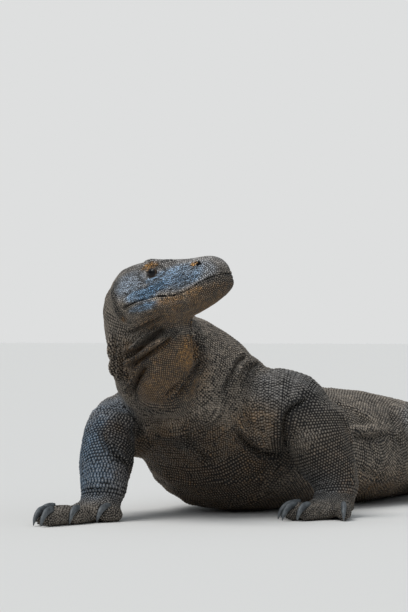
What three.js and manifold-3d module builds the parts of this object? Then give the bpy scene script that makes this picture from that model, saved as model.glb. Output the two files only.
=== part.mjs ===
// Komodo dragon at life size, resting on its belly with the head raised and turned to its left.
// Frame: +X runs along the trunk towards the head, +Y to the animal's left, +Z up, the floor at z = 0.
// The flesh is made of lofts, each a run of superellipse rings along a smooth line through its stations.
// Undersides that rest on the floor are drawn a little below it and cut back, which leaves flats.
import * as THREE from "three";
import Module from "manifold-3d";
import { mergeVertices } from "three/addons/utils/BufferGeometryUtils.js";

const wasm = await Module();
wasm.setup();

// ---------------------------------------------------------------- driving dimensions, mm
const GAP = 0.35; // free space between neighbouring solids
const HEAD_LENGTH = 160; // snout tip to the ear
const HEAD_PITCH = THREE.MathUtils.degToRad(15); // snout up
const HEAD_YAW = THREE.MathUtils.degToRad(85); // turned to the animal's left
const SNOUT_TIP = new THREE.Vector3(226, 143, 342); // where the lips meet at the front
const EYE_RADIUS = 9.5;
const CLAW_LENGTH = 31; // front claws, round the outer curve
const CLAW_RADIUS = 5.4; // half depth of a front claw at its root
const CLAW_SWEEP = 1.3; // how far a claw turns from root to tip, radians
const TOE_RADIUS = 12;
const TOE_HEIGHT = 23; // top of a toe above the floor
const BROW_RADIUS = 8;

const UP = [0, 0, 1];

// ---------------------------------------------------------------- materials
const hide = new THREE.MeshStandardMaterial({ color: 0x4c443b, roughness: 0.8 });
const bellyHide = new THREE.MeshStandardMaterial({ color: 0x4a3c2c, roughness: 0.85 });
const faceHide = new THREE.MeshStandardMaterial({ color: 0x50535a, roughness: 0.7 });
const horn = new THREE.MeshStandardMaterial({ color: 0x5b5c58, roughness: 0.45 });
const eyeball = new THREE.MeshStandardMaterial({ color: 0x14110f, roughness: 0.08 });

// ---------------------------------------------------------------- lofts
const vector = ([x, y, z]) => new THREE.Vector3(x, y, z);

/**
 * One ring of a loft: its centre, half width, height above and depth below the centre, how square
 * it is, how much it narrows towards the top, and the direction of its top.
 */
const station = (at, wide, up, down, square = 2.2, crown = UP, lean = 0) => ({
  at: vector(at),
  size: new THREE.Vector3(wide, up, down),
  form: new THREE.Vector3(square, lean, 0),
  crown: vector(crown),
});

/** A run of stations, read at any place between two of them: 2.5 is halfway from the third to the fourth. */
class Run {
  constructor(stations) {
    const through = (key) => new THREE.CatmullRomCurve3(stations.map((s) => s[key]));
    this.last = stations.length - 1;
    this.line = through("at");
    this.sizes = through("size");
    this.forms = through("form");
    this.crowns = through("crown");
  }

  /** The points of one ring, grown by a margin and pushed along the line by a shift. */
  ring(place, sides, margin, shift) {
    const t = THREE.MathUtils.clamp(place / this.last, 0, 1);
    const along = this.line.getTangent(t);
    const crown = this.crowns.getPoint(t);
    crown.addScaledVector(along, -crown.dot(along)).normalize();
    const sideways = new THREE.Vector3().crossVectors(along, crown);
    const size = this.sizes.getPoint(t);
    const form = this.forms.getPoint(t);
    const centre = this.line.getPoint(t).addScaledVector(along, shift);
    const points = [];
    for (let i = 0; i < sides; i++) {
      const angle = (2 * Math.PI * (i + 0.5)) / sides;
      const c = Math.cos(angle);
      const s = Math.sin(angle);
      const rise = Math.sign(s) * Math.abs(s) ** (2 / form.x);
      const reach = Math.sign(c) * Math.abs(c) ** (2 / form.x) * (1 - form.y * rise);
      const wide = reach * (Math.max(size.x, 0.4) + margin);
      const tall = rise * (Math.max(s > 0 ? size.y : size.z, 0.4) + margin);
      points.push(centre.clone().addScaledVector(sideways, wide).addScaledVector(crown, tall));
    }
    return { points, centre };
  }

  /** The closed solid between two places, with flat ends. */
  solid({ from = 0, to = this.last, sides = 14, steps = 8, margin = 0 } = {}) {
    const corners = [];
    const faces = [];
    const inset = GAP / 2 - margin;
    const rings = [];
    for (let i = 0; i <= steps; i++) {
      const place = from + ((to - from) * i) / steps;
      const first = from > 0 ? inset : -margin;
      const final = to < this.last ? -inset : margin;
      rings.push(this.ring(place, sides, margin, i === 0 ? first : i === steps ? final : 0));
    }
    rings.forEach(({ points }) => points.forEach((p) => corners.push(p.x, p.y, p.z)));
    for (let i = 0; i < steps; i++) {
      const [near, far] = [rings[i].points, rings[i + 1].points];
      for (let j = 0; j < sides; j++) {
        const k = (j + 1) % sides;
        const [a, b] = [i * sides + j, i * sides + k];
        const crossing = near[k].distanceTo(far[j]) < near[j].distanceTo(far[k]);
        faces.push(a, b, crossing ? a + sides : b + sides);
        faces.push(...(crossing ? [b, b + sides, a + sides] : [a, b + sides, a + sides]));
      }
    }
    [rings[0], rings[steps]].forEach(({ centre }, end) => {
      const hub = corners.length / 3;
      const first = end * steps * sides;
      corners.push(centre.x, centre.y, centre.z);
      for (let j = 0; j < sides; j++) {
        const a = first + j;
        const b = first + ((j + 1) % sides);
        faces.push(hub, ...(end ? [a, b] : [b, a]));
      }
    });
    return facingOut(corners, faces);
  }
}

/** A manifold solid from corner coordinates and triangles, turned so that its faces point out. */
function facingOut(corners, faces) {
  const build = (triVerts) =>
    new wasm.Manifold(new wasm.Mesh({ numProp: 3, vertProperties: new Float32Array(corners), triVerts }));
  const made = build(new Uint32Array(faces));
  if (made.volume() > 0) return made;
  const turned = faces.map((_, i) => faces[i - (i % 3) + [0, 2, 1][i % 3]]);
  return build(new Uint32Array(turned));
}

/** A manifold solid from a three.js geometry. */
function solidOf(geometry) {
  const bare = geometry.clone();
  bare.deleteAttribute("normal");
  bare.deleteAttribute("uv");
  const merged = mergeVertices(bare);
  return facingOut([...merged.attributes.position.array], [...merged.index.array]);
}

/** A three.js geometry from a manifold solid. */
function geometryOf(solid) {
  const mesh = solid.getMesh();
  const geometry = new THREE.BufferGeometry();
  geometry.setAttribute("position", new THREE.BufferAttribute(new Float32Array(mesh.vertProperties), 3));
  geometry.setIndex(new THREE.BufferAttribute(new Uint32Array(mesh.triVerts), 1));
  geometry.computeVertexNormals();
  return geometry;
}

const ball = (centre, radius) => solidOf(new THREE.SphereGeometry(radius, 8, 6).translate(...centre));
const underFloor = solidOf(new THREE.BoxGeometry(6000, 6000, 400).translate(0, 0, -200));
const join = (solids) => wasm.Manifold.union(solids);

/** The largest body of a solid that a cut has left in several. */
const largest = (solid) =>
  solid.decompose().reduce((best, body) => (body.volume() > best.volume() ? body : best));

// ---------------------------------------------------------------- neck, trunk and tail
// One run from inside the skull to the tail tip. The crown turns with the neck, so that the nape ends
// behind the turned head.
const spine = new Run([
  station([216, -6, 322], 36, 36, 36, 2, [-0.7, -0.5, 0.5]),
  station([206, -12, 302], 47, 47, 47, 2, [-0.7, -0.45, 0.5]),
  station([186, -17, 273], 52, 54, 52, 2, [-0.7, -0.4, 0.5]),
  station([150, -16, 238], 66, 75, 62, 2.1, [-0.7, -0.2, 0.65]),
  station([104, -16, 204], 86, 94, 74, 2.2, [-0.6, 0.05, 0.75]),
  station([50, -15, 174], 104, 95, 86, 2.3, [-0.5, 0.05, 0.9]),
  station([-10, -15, 148], 120, 84, 118, 2.3, [-0.3, 0, 1], 0.04),
  station([-70, -15, 123], 130, 84, 125, 2.3, UP, 0.06),
  station([-150, -20, 104], 138, 85, 106, 2.3, UP, 0.08),
  station([-290, -26, 94], 158, 86, 97, 2.5, UP, 0.14),
  station([-400, -22, 88], 154, 86, 91, 2.5, UP, 0.14),
  station([-490, -12, 84], 124, 80, 87, 2.3, UP, 0.08),
  station([-570, 2, 79], 94, 73, 81, 2.2),
  station([-650, 18, 71], 68, 64, 73, 2.1),
  station([-770, 38, 57], 50, 54, 58.5, 2),
  station([-910, 50, 46], 40, 46, 47.5, 2),
  station([-1060, 44, 37], 31, 38, 38.5, 2),
  station([-1220, 12, 29], 23, 30, 30.5, 2),
  station([-1380, -46, 22], 17, 22, 23.5, 2),
  station([-1530, -120, 15], 12, 15, 16.5, 2),
  station([-1660, -202, 9.5], 8, 9.5, 11, 2),
  station([-1750, -266, 6], 4.5, 5, 7.5, 2),
  station([-1786, -293, 4], 1.5, 1.6, 5.5, 2),
]);
// Each length of the spine: its name, first and last place, sides, steps and material. The neck's two
// lengths stop short of the skull.
const SPINE_LENGTHS = [
  ["neck_upper", 0, 3, 16, 5, hide],
  ["neck_lower", 3, 5.4, 16, 4, hide],
  ["thorax", 5.4, 8, 18, 5, hide],
  ["abdomen", 8, 10, 18, 4, bellyHide],
  ["pelvis", 10, 12.4, 16, 4, hide],
  ["tail_1", 12.4, 14.5, 11, 4, hide],
  ["tail_2", 14.5, 16.5, 9, 4, hide],
  ["tail_3", 16.5, 18.5, 8, 4, hide],
  ["tail_4", 18.5, 22, 7, 5, hide],
];

// ---------------------------------------------------------------- head
const snoutward = new THREE.Vector3(
  Math.cos(HEAD_YAW) * Math.cos(HEAD_PITCH),
  Math.sin(HEAD_YAW) * Math.cos(HEAD_PITCH),
  Math.sin(HEAD_PITCH),
);
const headRight = new THREE.Vector3().crossVectors(snoutward, vector(UP)).normalize();
const headUp = new THREE.Vector3().crossVectors(headRight, snoutward);

/** A point in the head: back from the snout tip, towards its right side, and above the mouth. */
const inHead = (back, right, above) =>
  SNOUT_TIP.clone()
    .addScaledVector(snoutward, -back)
    .addScaledVector(headRight, right)
    .addScaledVector(headUp, above)
    .toArray();

/** A head station whose ring is centred between its top and its underside. */
const headStation = (back, wide, top, under, square, lean) => {
  const half = (top + under) / 2;
  return station(inHead(back, 0, (top - under) / 2), wide, half, half, square, headUp.toArray(), lean);
};
const skull = new Run([
  headStation(0, 12, 19, 9, 2.2, 0),
  headStation(4, 19, 26, 18, 2.4, 0.02),
  headStation(13, 24.5, 30, 25, 2.5, 0.04),
  headStation(28, 28.5, 33.5, 30, 2.5, 0.08),
  headStation(46, 31, 36, 35, 2.4, 0.12),
  headStation(68, 36, 40, 39, 2.3, 0.16),
  headStation(92, 43, 46, 42, 2.3, 0.18),
  headStation(116, 49, 51, 44, 2.3, 0.16),
  headStation(138, 51, 54, 44, 2.3, 0.12),
  headStation(HEAD_LENGTH, 46, 50, 40, 2.2, 0.06),
  headStation(HEAD_LENGTH + 14, 37, 40, 30, 2.1, 0),
  headStation(HEAD_LENGTH + 26, 18, 20, 12, 2, 0),
]);

/** The bony ridge over one eye. */
const brow = (side) =>
  new Run([
    station(inHead(58, 18 * side, 32), 4, 4, 4),
    station(inHead(72, 22 * side, 38), BROW_RADIUS, BROW_RADIUS * 0.6, BROW_RADIUS * 0.7),
    station(inHead(90, 26 * side, 43), BROW_RADIUS, BROW_RADIUS * 0.6, BROW_RADIUS * 0.8),
    station(inHead(108, 26 * side, 45), BROW_RADIUS, BROW_RADIUS * 0.6, BROW_RADIUS),
    station(inHead(126, 24 * side, 43), 5, 4, 5),
  ]);

/** The thin sheet between the lips: it follows the mouth's line from the snout past its corner. */
function mouthSheet() {
  const line = new THREE.SplineCurve(
    [
      [-20, 0],
      [5, -1],
      [27, -4.7],
      [48, -10.4],
      [68, -12],
      [94, -7],
      [117, -6],
      [140, -9],
      [172, -28],
      [240, -66],
    ].map(([back, above]) => new THREE.Vector2(back, above)),
  ).getPoints(12);
  const half = new THREE.Vector2(0, GAP / 2);
  const outline = new THREE.Shape(line.map((p) => p.clone().add(half)));
  line.reverse().forEach((p) => outline.lineTo(p.x, p.y - half.y));
  const sheet = new THREE.ExtrudeGeometry(outline, { depth: 200, bevelEnabled: false });
  const axes = new THREE.Matrix4().makeBasis(snoutward.clone().negate(), headUp, headRight);
  axes.setPosition(vector(inHead(0, -100, 0)));
  return solidOf(sheet.applyMatrix4(axes));
}

const EYES = { right: inHead(97, 26, 27), left: inHead(97, -26, 27) };

/** A shallow pit in the side of the head: an egg of the given half length, depth and height. */
function pit(centre, halfLength, depth, halfHeight) {
  const egg = new THREE.SphereGeometry(1, 6, 4).scale(halfLength, halfHeight, depth);
  const axes = new THREE.Matrix4().makeBasis(snoutward.clone().negate(), headUp, headRight);
  return solidOf(egg.applyMatrix4(axes.setPosition(vector(centre))));
}
const headPits = [1, -1].flatMap((side) => [
  pit(inHead(27, side * 24, 21), 5, 5, 3.5), // nostril
  pit(inHead(158, side * 46, 4), 3.5, 5, 11), // ear
]);

// The loose bag of skin between the jaws and the front of the neck.
const pouch = new Run([
  station([218, 64, 304], 12, 12, 12, 2, [0.7, 0.6, 0]),
  station([212, 46, 280], 33, 28, 28, 2, [0.7, 0.5, 0]),
  station([200, 24, 248], 46, 40, 40, 2, [0.75, 0.4, 0]),
  station([174, 6, 214], 52, 44, 44, 2, [0.85, 0.2, 0]),
  station([138, -2, 180], 53, 42, 42, 2, [0.85, 0.1, 0]),
  station([100, -8, 150], 28, 22, 22, 2, [0.85, 0.1, 0]),
]);

// ---------------------------------------------------------------- legs
const FORWARD = [1, 0, 0.3];

// How finely each part of a leg is drawn: the sides of its rings and the steps along it.
const FRONT_DETAIL = {
  upper: { sides: 12, steps: 6 },
  lower: { sides: 10, steps: 5 },
  toe: { sides: 6, steps: 3 },
};
const HIND_DETAIL = {
  upper: { sides: 11, steps: 5 },
  lower: { sides: 9, steps: 4 },
  toe: { sides: 5, steps: 3 },
};

// Each leg: its upper and lower lofts, its sole, and each toe as its knuckle and tip on the floor plan.
const LEGS = {
  front_left: {
    upper: [
      station([-6, 44, 140], 60, 54, 56),
      station([6, 78, 154], 58, 60, 60),
      station([-8, 114, 154], 54, 56, 58),
      station([-17, 142, 147], 45, 46, 50),
      station([-22, 160, 143], 29, 30, 34),
      station([-24, 170, 141], 8, 8, 8),
    ],
    lower: [
      station([-20, 146, 166], 24, 24, 24, 2, FORWARD),
      station([-20, 148, 146], 43, 42, 42, 2, FORWARD),
      station([-19, 153, 112], 47, 45, 45, 2, FORWARD),
      station([-26, 165, 76], 41, 39, 39, 2, FORWARD),
      station([-30, 176, 50], 34, 33, 34, 2, FORWARD),
      station([-26, 181, 28], 31, 31, 30, 2, FORWARD),
    ],
    sole: { wrist: [-24, 181], middle: [4, 183], front: [36, 180], half: 35 },
    toes: [
      [[10, 158], [27, 141]],
      [[26, 162], [51, 147]],
      [[38, 171], [74, 162]],
      [[34, 186], [70, 181]],
      [[6, 208], [38, 224]],
    ],
    scale: 1,
  },
  front_right: {
    upper: [
      station([-6, -56, 135], 60, 54, 56),
      station([36, -90, 136], 56, 54, 56),
      station([78, -100, 134], 49, 44, 52),
      station([112, -102, 134], 41, 38, 46),
      station([132, -100, 133], 28, 27, 32),
      station([142, -99, 132], 8, 8, 8),
    ],
    lower: [
      station([112, -104, 150], 20, 20, 20, 2, FORWARD),
      station([122, -101, 138], 35, 34, 34, 2, FORWARD),
      station([148, -92, 115], 37, 38, 38, 2, FORWARD),
      station([178, -79, 82], 39, 39, 39, 2, FORWARD),
      station([200, -69, 54], 34, 34, 34, 2, FORWARD),
      station([209, -65, 34], 32, 31, 30, 2, FORWARD),
    ],
    sole: { wrist: [206, -66], middle: [226, -70], front: [258, -76], half: 32 },
    toes: [
      [[212, -43], [233, -45]],
      [[252, -62], [291, -57]],
      [[276, -66], [344, -66]],
      [[272, -82], [332, -85]],
      [[244, -94], [272, -113]],
    ],
    scale: 1,
  },
  hind_left: {
    upper: [
      station([-566, 20, 92], 58, 54, 56),
      station([-530, 62, 98], 60, 54, 58),
      station([-474, 104, 108], 54, 50, 56),
      station([-424, 124, 113], 48, 47, 51),
      station([-400, 134, 110], 37, 37, 41),
      station([-388, 139, 108], 14, 14, 16),
    ],
    lower: [
      station([-414, 122, 132], 22, 22, 22),
      station([-418, 130, 112], 41, 40, 43),
      station([-448, 148, 84], 41, 38, 39),
      station([-492, 170, 54], 33, 31, 31),
      station([-518, 187, 35], 28, 27, 27),
      station([-526, 192, 28], 24, 23, 24),
    ],
    sole: { wrist: [-520, 187], middle: [-490, 202], front: [-452, 218], half: 33 },
    toes: [
      [[-466, 182], [-434, 170]],
      [[-444, 196], [-398, 192]],
      [[-436, 214], [-380, 222]],
      [[-446, 232], [-390, 256]],
      [[-484, 236], [-454, 270]],
    ],
    scale: 0.96,
  },
  hind_right: {
    upper: [
      station([-566, -24, 92], 58, 54, 56),
      station([-544, -74, 98], 60, 54, 58),
      station([-510, -128, 104], 52, 46, 52),
      station([-484, -164, 106], 45, 43, 47),
      station([-474, -186, 102], 36, 35, 39),
      station([-469, -197, 100], 14, 14, 16),
    ],
    lower: [
      station([-486, -164, 120], 22, 22, 22),
      station([-492, -170, 104], 38, 37, 39),
      station([-516, -181, 82], 39, 36, 36),
      station([-558, -195, 54], 33, 31, 31),
      station([-586, -207, 35], 28, 27, 27),
      station([-594, -211, 28], 24, 23, 24),
    ],
    sole: { wrist: [-588, -207], middle: [-556, -224], front: [-518, -244], half: 33 },
    toes: [
      [[-534, -206], [-502, -196]],
      [[-512, -224], [-466, -222]],
      [[-506, -242], [-452, -254]],
      [[-518, -260], [-466, -288]],
      [[-556, -260], [-530, -296]],
    ],
    scale: 0.96,
  },
};

/** A toe that arches from the sole to the root of its claw. */
function toeRun([knuckle, tip], scale) {
  const from = vector([...knuckle, 0]);
  const reach = vector([...tip, 0]).sub(from);
  const radius = TOE_RADIUS * scale;
  const top = TOE_HEIGHT * scale;
  const place = (share, height, wide, crest) => {
    const at = from.clone().addScaledVector(reach, share).setZ(height);
    return station(at.toArray(), wide, crest, height + 1, 2.1);
  };
  return new Run([
    place(-0.4, radius, radius * 0.7, radius * 0.5),
    place(0, radius, radius, top - radius),
    place(0.5, radius, radius * 0.98, top - radius + 3),
    place(1, radius, radius * 0.94, top - radius + 1),
    place(1 + (radius * 0.8) / reach.length(), radius * 0.8, radius * 0.5, radius * 0.35),
  ]);
}

/** A claw: a tapering horn that arcs from the top of its toe down to the floor. */
function clawRun([knuckle, tip], scale) {
  const forward = vector([...tip, 0]).sub(vector([...knuckle, 0])).normalize();
  const length = CLAW_LENGTH * scale;
  const root = vector([...tip, TOE_HEIGHT * scale]).addScaledVector(forward, -length * 0.12);
  const drop = root.z - 1.2;
  const place = (share, thick) => {
    const turn = share * CLAW_SWEEP;
    const at = root.clone().addScaledVector(forward, Math.sin(turn) * length * 0.82);
    at.z = root.z - (drop * (1 - Math.cos(turn))) / (1 - Math.cos(CLAW_SWEEP));
    const half = CLAW_RADIUS * scale * thick;
    return station(at.toArray(), half * 0.78, half, half * 0.95, 2, [forward.x, forward.y, 0.4]);
  };
  return new Run([place(0, 0.95), place(0.3, 1), place(0.58, 0.82), place(0.82, 0.52), place(1, 0.16)]);
}

/** The hand's or foot's broad sole, from the wrist to the knuckles. */
function soleRun({ wrist, middle, front, half }) {
  const heel = vector([...wrist, 10]).lerp(vector([...front, 10]), -0.4);
  const edge = vector([...front, 9]).lerp(vector([...middle, 9]), -0.4);
  return new Run([
    station(heel.toArray(), half * 0.35, 6, 11),
    station([...wrist, 24], half * 0.86, 16, 25),
    station([...middle, 16], half * 0.98, 18, 17, 2.3),
    station([...front, 12], half * 0.86, 10, 13, 2.3),
    station(edge.toArray(), half * 0.45, 4, 10),
  ]);
}

// ---------------------------------------------------------------- assembly
const dragon = new THREE.Group();
dragon.name = "komodo_dragon";

/** Adds one solid as a named mesh, its underside cut flat at the floor. */
function add(name, solid, material) {
  const mesh = new THREE.Mesh(geometryOf(solid.subtract(underFloor)), material);
  mesh.name = name;
  dragon.add(mesh);
}

/** The whole head grown by a margin. */
const headSolid = (margin) =>
  join([
    skull.solid({ sides: 14, steps: 15, margin }),
    ...[1, -1].map((side) => brow(side).solid({ sides: 5, steps: 4, margin })),
  ]);
const headKeepOut = headSolid(GAP);
const eyeRoom = join(Object.values(EYES).map((centre) => ball(centre, EYE_RADIUS + GAP)));
const [headBody, jawBody] = headSolid(0)
  .subtract(mouthSheet())
  .decompose()
  .sort((a, b) => b.volume() - a.volume());
add("head", headBody.subtract(join([eyeRoom, ...headPits])), faceHide);
add("lower_jaw", jawBody, faceHide);
Object.entries(EYES).forEach(([side, centre]) => add("eye_" + side, ball(centre, EYE_RADIUS), eyeball));

const spineKeepOuts = [];
SPINE_LENGTHS.forEach(([name, from, to, sides, steps, material]) => {
  const length = spine.solid({ from, to, sides, steps });
  spineKeepOuts.push(spine.solid({ from, to, sides, steps, margin: GAP }));
  add(name, name.startsWith("neck") ? largest(length.subtract(headKeepOut)) : length, material);
});
const trunkKeepOut = join(spineKeepOuts);
const pouchBody = pouch.solid({ sides: 11, steps: 6 }).subtract(headKeepOut).subtract(trunkKeepOut);
add("throat_pouch", largest(pouchBody), bellyHide);

Object.entries(LEGS).forEach(([leg, { upper, lower, sole, toes, scale }]) => {
  const upperLoft = new Run(upper);
  const lowerLoft = new Run(lower);
  const detail = leg.startsWith("front") ? FRONT_DETAIL : HIND_DETAIL;
  const upperSolid = upperLoft.solid(detail.upper);
  const upperKeepOut = join([trunkKeepOut, upperLoft.solid({ ...detail.upper, margin: GAP })]);
  const lowerSolid = lowerLoft.solid(detail.lower);
  const lowerKeepOut = join([upperKeepOut, lowerLoft.solid({ ...detail.lower, margin: GAP })]);
  add(leg + "_upper", largest(upperSolid.subtract(trunkKeepOut)), hide);
  add(leg + "_lower", largest(lowerSolid.subtract(upperKeepOut)), hide);

  const toeSolids = toes.map((toe) => toeRun(toe, scale).solid(detail.toe));
  const claws = toes.map((toe) => clawRun(toe, scale));
  const clawRoom = claws.map((claw) => claw.solid({ sides: 5, steps: 3, margin: GAP }));
  const foot = join([soleRun(sole).solid({ sides: 8, steps: 3 }), ...toeSolids]);
  add(leg + "_foot", largest(foot.subtract(join([lowerKeepOut, ...clawRoom]))), hide);
  claws.forEach((claw, i) => add(`claw_${leg}_${i + 1}`, claw.solid({ sides: 5, steps: 3 }), horn));
});

// The origin is under the middle of the whole animal, on the floor.
const middle = new THREE.Box3().setFromObject(dragon).getCenter(new THREE.Vector3());
dragon.position.set(-middle.x, -middle.y, 0);

export default dragon;
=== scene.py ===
"""Looks of a life-size komodo dragon at rest on its belly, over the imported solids.

One skin is remeshed from the solids of the flesh, then carved with the folds, lids, lips and pits
of the animal. A coat of solid scales lies on it in rings round each part of the body, with granules
on the head, hands and feet. Eyes and claws are pieces of their own. Lengths in the tables are
millimetres; everything handed to Blender is metres in the frame of the solids: +X to the head, +Y
to the animal's left, +Z up.
"""

import sys

import logging
import math
from dataclasses import dataclass, field, replace
from enum import Enum
from functools import cached_property, partial, partialmethod
from itertools import product
from typing import Callable, Sequence

import bmesh
import bpy
import numpy as np
from mathutils import Matrix, Vector
from mathutils.bvhtree import BVHTree
from mathutils.kdtree import KDTree


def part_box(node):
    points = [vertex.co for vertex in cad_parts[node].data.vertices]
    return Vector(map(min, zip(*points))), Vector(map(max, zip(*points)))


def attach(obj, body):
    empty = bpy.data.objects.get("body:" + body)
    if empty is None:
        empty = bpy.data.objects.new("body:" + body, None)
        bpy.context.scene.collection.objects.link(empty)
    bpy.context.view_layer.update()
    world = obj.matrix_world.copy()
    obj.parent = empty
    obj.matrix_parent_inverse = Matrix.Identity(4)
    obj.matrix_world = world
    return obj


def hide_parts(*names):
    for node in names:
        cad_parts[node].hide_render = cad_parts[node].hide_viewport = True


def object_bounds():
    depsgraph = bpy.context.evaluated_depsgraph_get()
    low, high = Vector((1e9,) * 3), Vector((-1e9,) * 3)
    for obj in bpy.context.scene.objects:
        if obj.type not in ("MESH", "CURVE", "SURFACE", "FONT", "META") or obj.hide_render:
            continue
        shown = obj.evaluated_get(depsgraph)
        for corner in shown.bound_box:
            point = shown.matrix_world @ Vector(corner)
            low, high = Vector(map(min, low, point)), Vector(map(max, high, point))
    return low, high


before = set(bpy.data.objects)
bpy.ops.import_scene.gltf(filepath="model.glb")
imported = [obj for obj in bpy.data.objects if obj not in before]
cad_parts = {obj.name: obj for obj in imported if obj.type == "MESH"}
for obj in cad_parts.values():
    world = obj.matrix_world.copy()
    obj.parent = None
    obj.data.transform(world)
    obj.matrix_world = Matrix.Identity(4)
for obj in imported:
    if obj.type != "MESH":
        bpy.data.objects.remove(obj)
CAD_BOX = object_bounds()
BOXES = {node: tuple(np.array(corner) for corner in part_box(node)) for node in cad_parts}

LOG = logging.getLogger("komodo")
MM = 0.001
CURVE_STEPS = 12
TINY = 1e-12

Array = np.ndarray
Values = dict | None
Layer = bpy.types.bpy_prop_collection
Node = bpy.types.Node
Socket = bpy.types.NodeSocket
Tree = bpy.types.NodeTree
Material = bpy.types.Material
Mesh = bpy.types.Mesh
Piece = bpy.types.Object
Triple = tuple[float, float, float]
Line = tuple[Triple, ...]
UP: Triple = (0.0, 0.0, 1.0)


# ---- small helpers
def mm(points: Sequence) -> Array:
    """Points in millimetres as an array in metres."""
    return np.asarray(points, dtype=float) * MM


def unit(vectors: Array) -> Array:
    """Vectors scaled to length 1."""
    length = np.linalg.norm(vectors, axis=-1, keepdims=True)
    return vectors / np.maximum(length, TINY)


def srgb(code: int) -> tuple[float, float, float, float]:
    """A hexadecimal display colour as linear red, green, blue and alpha."""
    parts = [((code >> shift) & 255) / 255 for shift in (16, 8, 0)]
    linear = [p / 12.92 if p <= 0.04045 else ((p + 0.055) / 1.055) ** 2.4 for p in parts]
    return (*linear, 1.0)


def bell(distance: Array, width: float) -> Array:
    """A smooth hump: 1 at no distance, falling to nothing past about twice the width."""
    return np.exp(-((distance / width) ** 2))


def ramp(value: Array, low: float, high: float) -> Array:
    """A smooth step from 0 at low to 1 at high; low may be the larger of the two."""
    t = np.clip((value - low) / (high - low), 0.0, 1.0)
    return t * t * (3 - 2 * t)


def ripple(points: Array, length: float, seed: int, waves: int = 14) -> Array:
    """Smooth unevenness between about -1 and 1, from waves in fixed random directions.

    Args:
        points: Where it is wanted, in metres.
        length: The typical length of one wave, in metres.
        seed: Picks the directions and phases.
        waves: How many waves are summed.

    Returns:
        One value for each point.
    """
    source = np.random.default_rng(seed)
    pull = unit(source.normal(size=(waves, 3))) * source.uniform(0.7, 1.6, (waves, 1))
    phase = source.uniform(0, 2 * math.pi, waves)
    return np.sin(points @ pull.T * (2 * math.pi / length) + phase).sum(axis=1) / math.sqrt(waves)


def run_along(line: Array) -> Array:
    """How far along a broken line each of its corners is."""
    return np.concatenate([[0], np.cumsum(np.linalg.norm(np.diff(line, axis=0), axis=1))])


def at_run(at: Array, run: Array, line: Array) -> Array:
    """Points at given distances along a line whose corners lie at the distances in run."""
    return np.stack([np.interp(at, run, line[:, i]) for i in range(3)], axis=1)


def spaced(line: Array, step: float) -> tuple[Array, Array]:
    """A smooth line through the given points, cut into equal steps.

    Args:
        line: Points on the line.
        step: Distance between the cuts.

    Returns:
        The cuts, and the line's direction at each.
    """
    ends = np.vstack([2 * line[0] - line[1], line, 2 * line[-1] - line[-2]])
    t = np.linspace(0, 1, CURVE_STEPS, endpoint=False)[:, None]
    fine = []
    for a, b, c, d in zip(ends, ends[1:], ends[2:], ends[3:]):
        square, cube = 2 * a - 5 * b + 4 * c - d, 3 * b - a - 3 * c + d
        fine.append(0.5 * (2 * b + (c - a) * t + square * t**2 + cube * t**3))
    fine = np.vstack([*fine, line[-1:]])
    run = run_along(fine)
    at = np.arange(0, run[-1], step)
    return at_run(at, run, fine), unit(at_run(at + step, run, fine) - at_run(at - step, run, fine))


def gap_to(points: Array, line: Array) -> tuple[Array, Array]:
    """How far points are from a broken line.

    Args:
        points: The points.
        line: The line's corners.

    Returns:
        The distance of each point, and how far along the line its nearest place is, from 0 to 1.
    """
    best = np.full(len(points), np.inf)
    share = np.zeros(len(points))
    pieces = len(line) - 1
    for i, (a, b) in enumerate(zip(line, line[1:])):
        edge = b - a
        t = np.clip((points - a) @ edge / max(edge @ edge, TINY), 0, 1)
        distance = np.linalg.norm(points - a - t[:, None] * edge, axis=1)
        nearer = distance < best
        best[nearer] = distance[nearer]
        share[nearer] = ((i + t) / pieces)[nearer]
    return best, share


def read(layer: Layer, key: str, width: int, kind: type = np.float32) -> Array:
    """One property of every element of a mesh layer as an array of rows."""
    values = np.empty(len(layer) * width, dtype=kind)
    layer.foreach_get(key, values)
    return values.reshape(-1, width) if width > 1 else values


def corners_of(mesh: Mesh) -> Array:
    """The mesh's vertices as rows."""
    return read(mesh.vertices, "co", 3).astype(float)


def place_corners(mesh: Mesh, points: Array) -> None:
    """Moves the mesh's vertices to the given rows."""
    mesh.vertices.foreach_set("co", points.astype(np.float32).ravel())
    mesh.update()


def store(mesh: Mesh, name: str, values: Array) -> None:
    """Writes a number, or a row of three, for every vertex as a named attribute."""
    kind, key = ("FLOAT_VECTOR", "vector") if values.ndim == 2 else ("FLOAT", "value")
    layer = mesh.attributes.new(name, kind, "POINT")
    layer.data.foreach_set(key, values.astype(np.float32).ravel())


def made(name: str, data: bpy.types.ID) -> Piece:
    """A new object at the origin for a mesh, a lamp or a camera."""
    piece = bpy.data.objects.new(name, data)
    bpy.context.scene.collection.objects.link(piece)
    return piece


def settled(piece: Piece, name: str) -> Piece:
    """Swaps an object for a plain one whose mesh has the modifiers in it."""
    graph = bpy.context.evaluated_depsgraph_get()
    mesh = bpy.data.meshes.new_from_object(piece.evaluated_get(graph))
    mesh.name = name
    source = piece.data
    bpy.data.objects.remove(piece)
    bpy.data.meshes.remove(source)
    return made(name, mesh)


def smooth(mesh: Mesh) -> None:
    """Shades every face of a mesh smooth."""
    mesh.polygons.foreach_set("use_smooth", np.ones(len(mesh.polygons), dtype=bool))


def dress_only(mesh: Mesh, material: Material) -> None:
    """Gives a mesh one material in place of any it has."""
    mesh.materials.clear()
    mesh.materials.append(material)


def triangles_in(mesh: Mesh) -> int:
    """How many triangles a mesh's faces make."""
    return sum(len(p.vertices) - 2 for p in mesh.polygons)


def tube_faces(rings: int, sides: int) -> list[tuple[int, int, int, int]]:
    """The four-sided faces between rings of corners."""
    faces = []
    for first in range(0, rings * sides, sides):
        for j in range(sides):
            a, b = first + j, first + (j + 1) % sides
            faces.append((a, a + sides, b + sides, b))
    return faces


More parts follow.
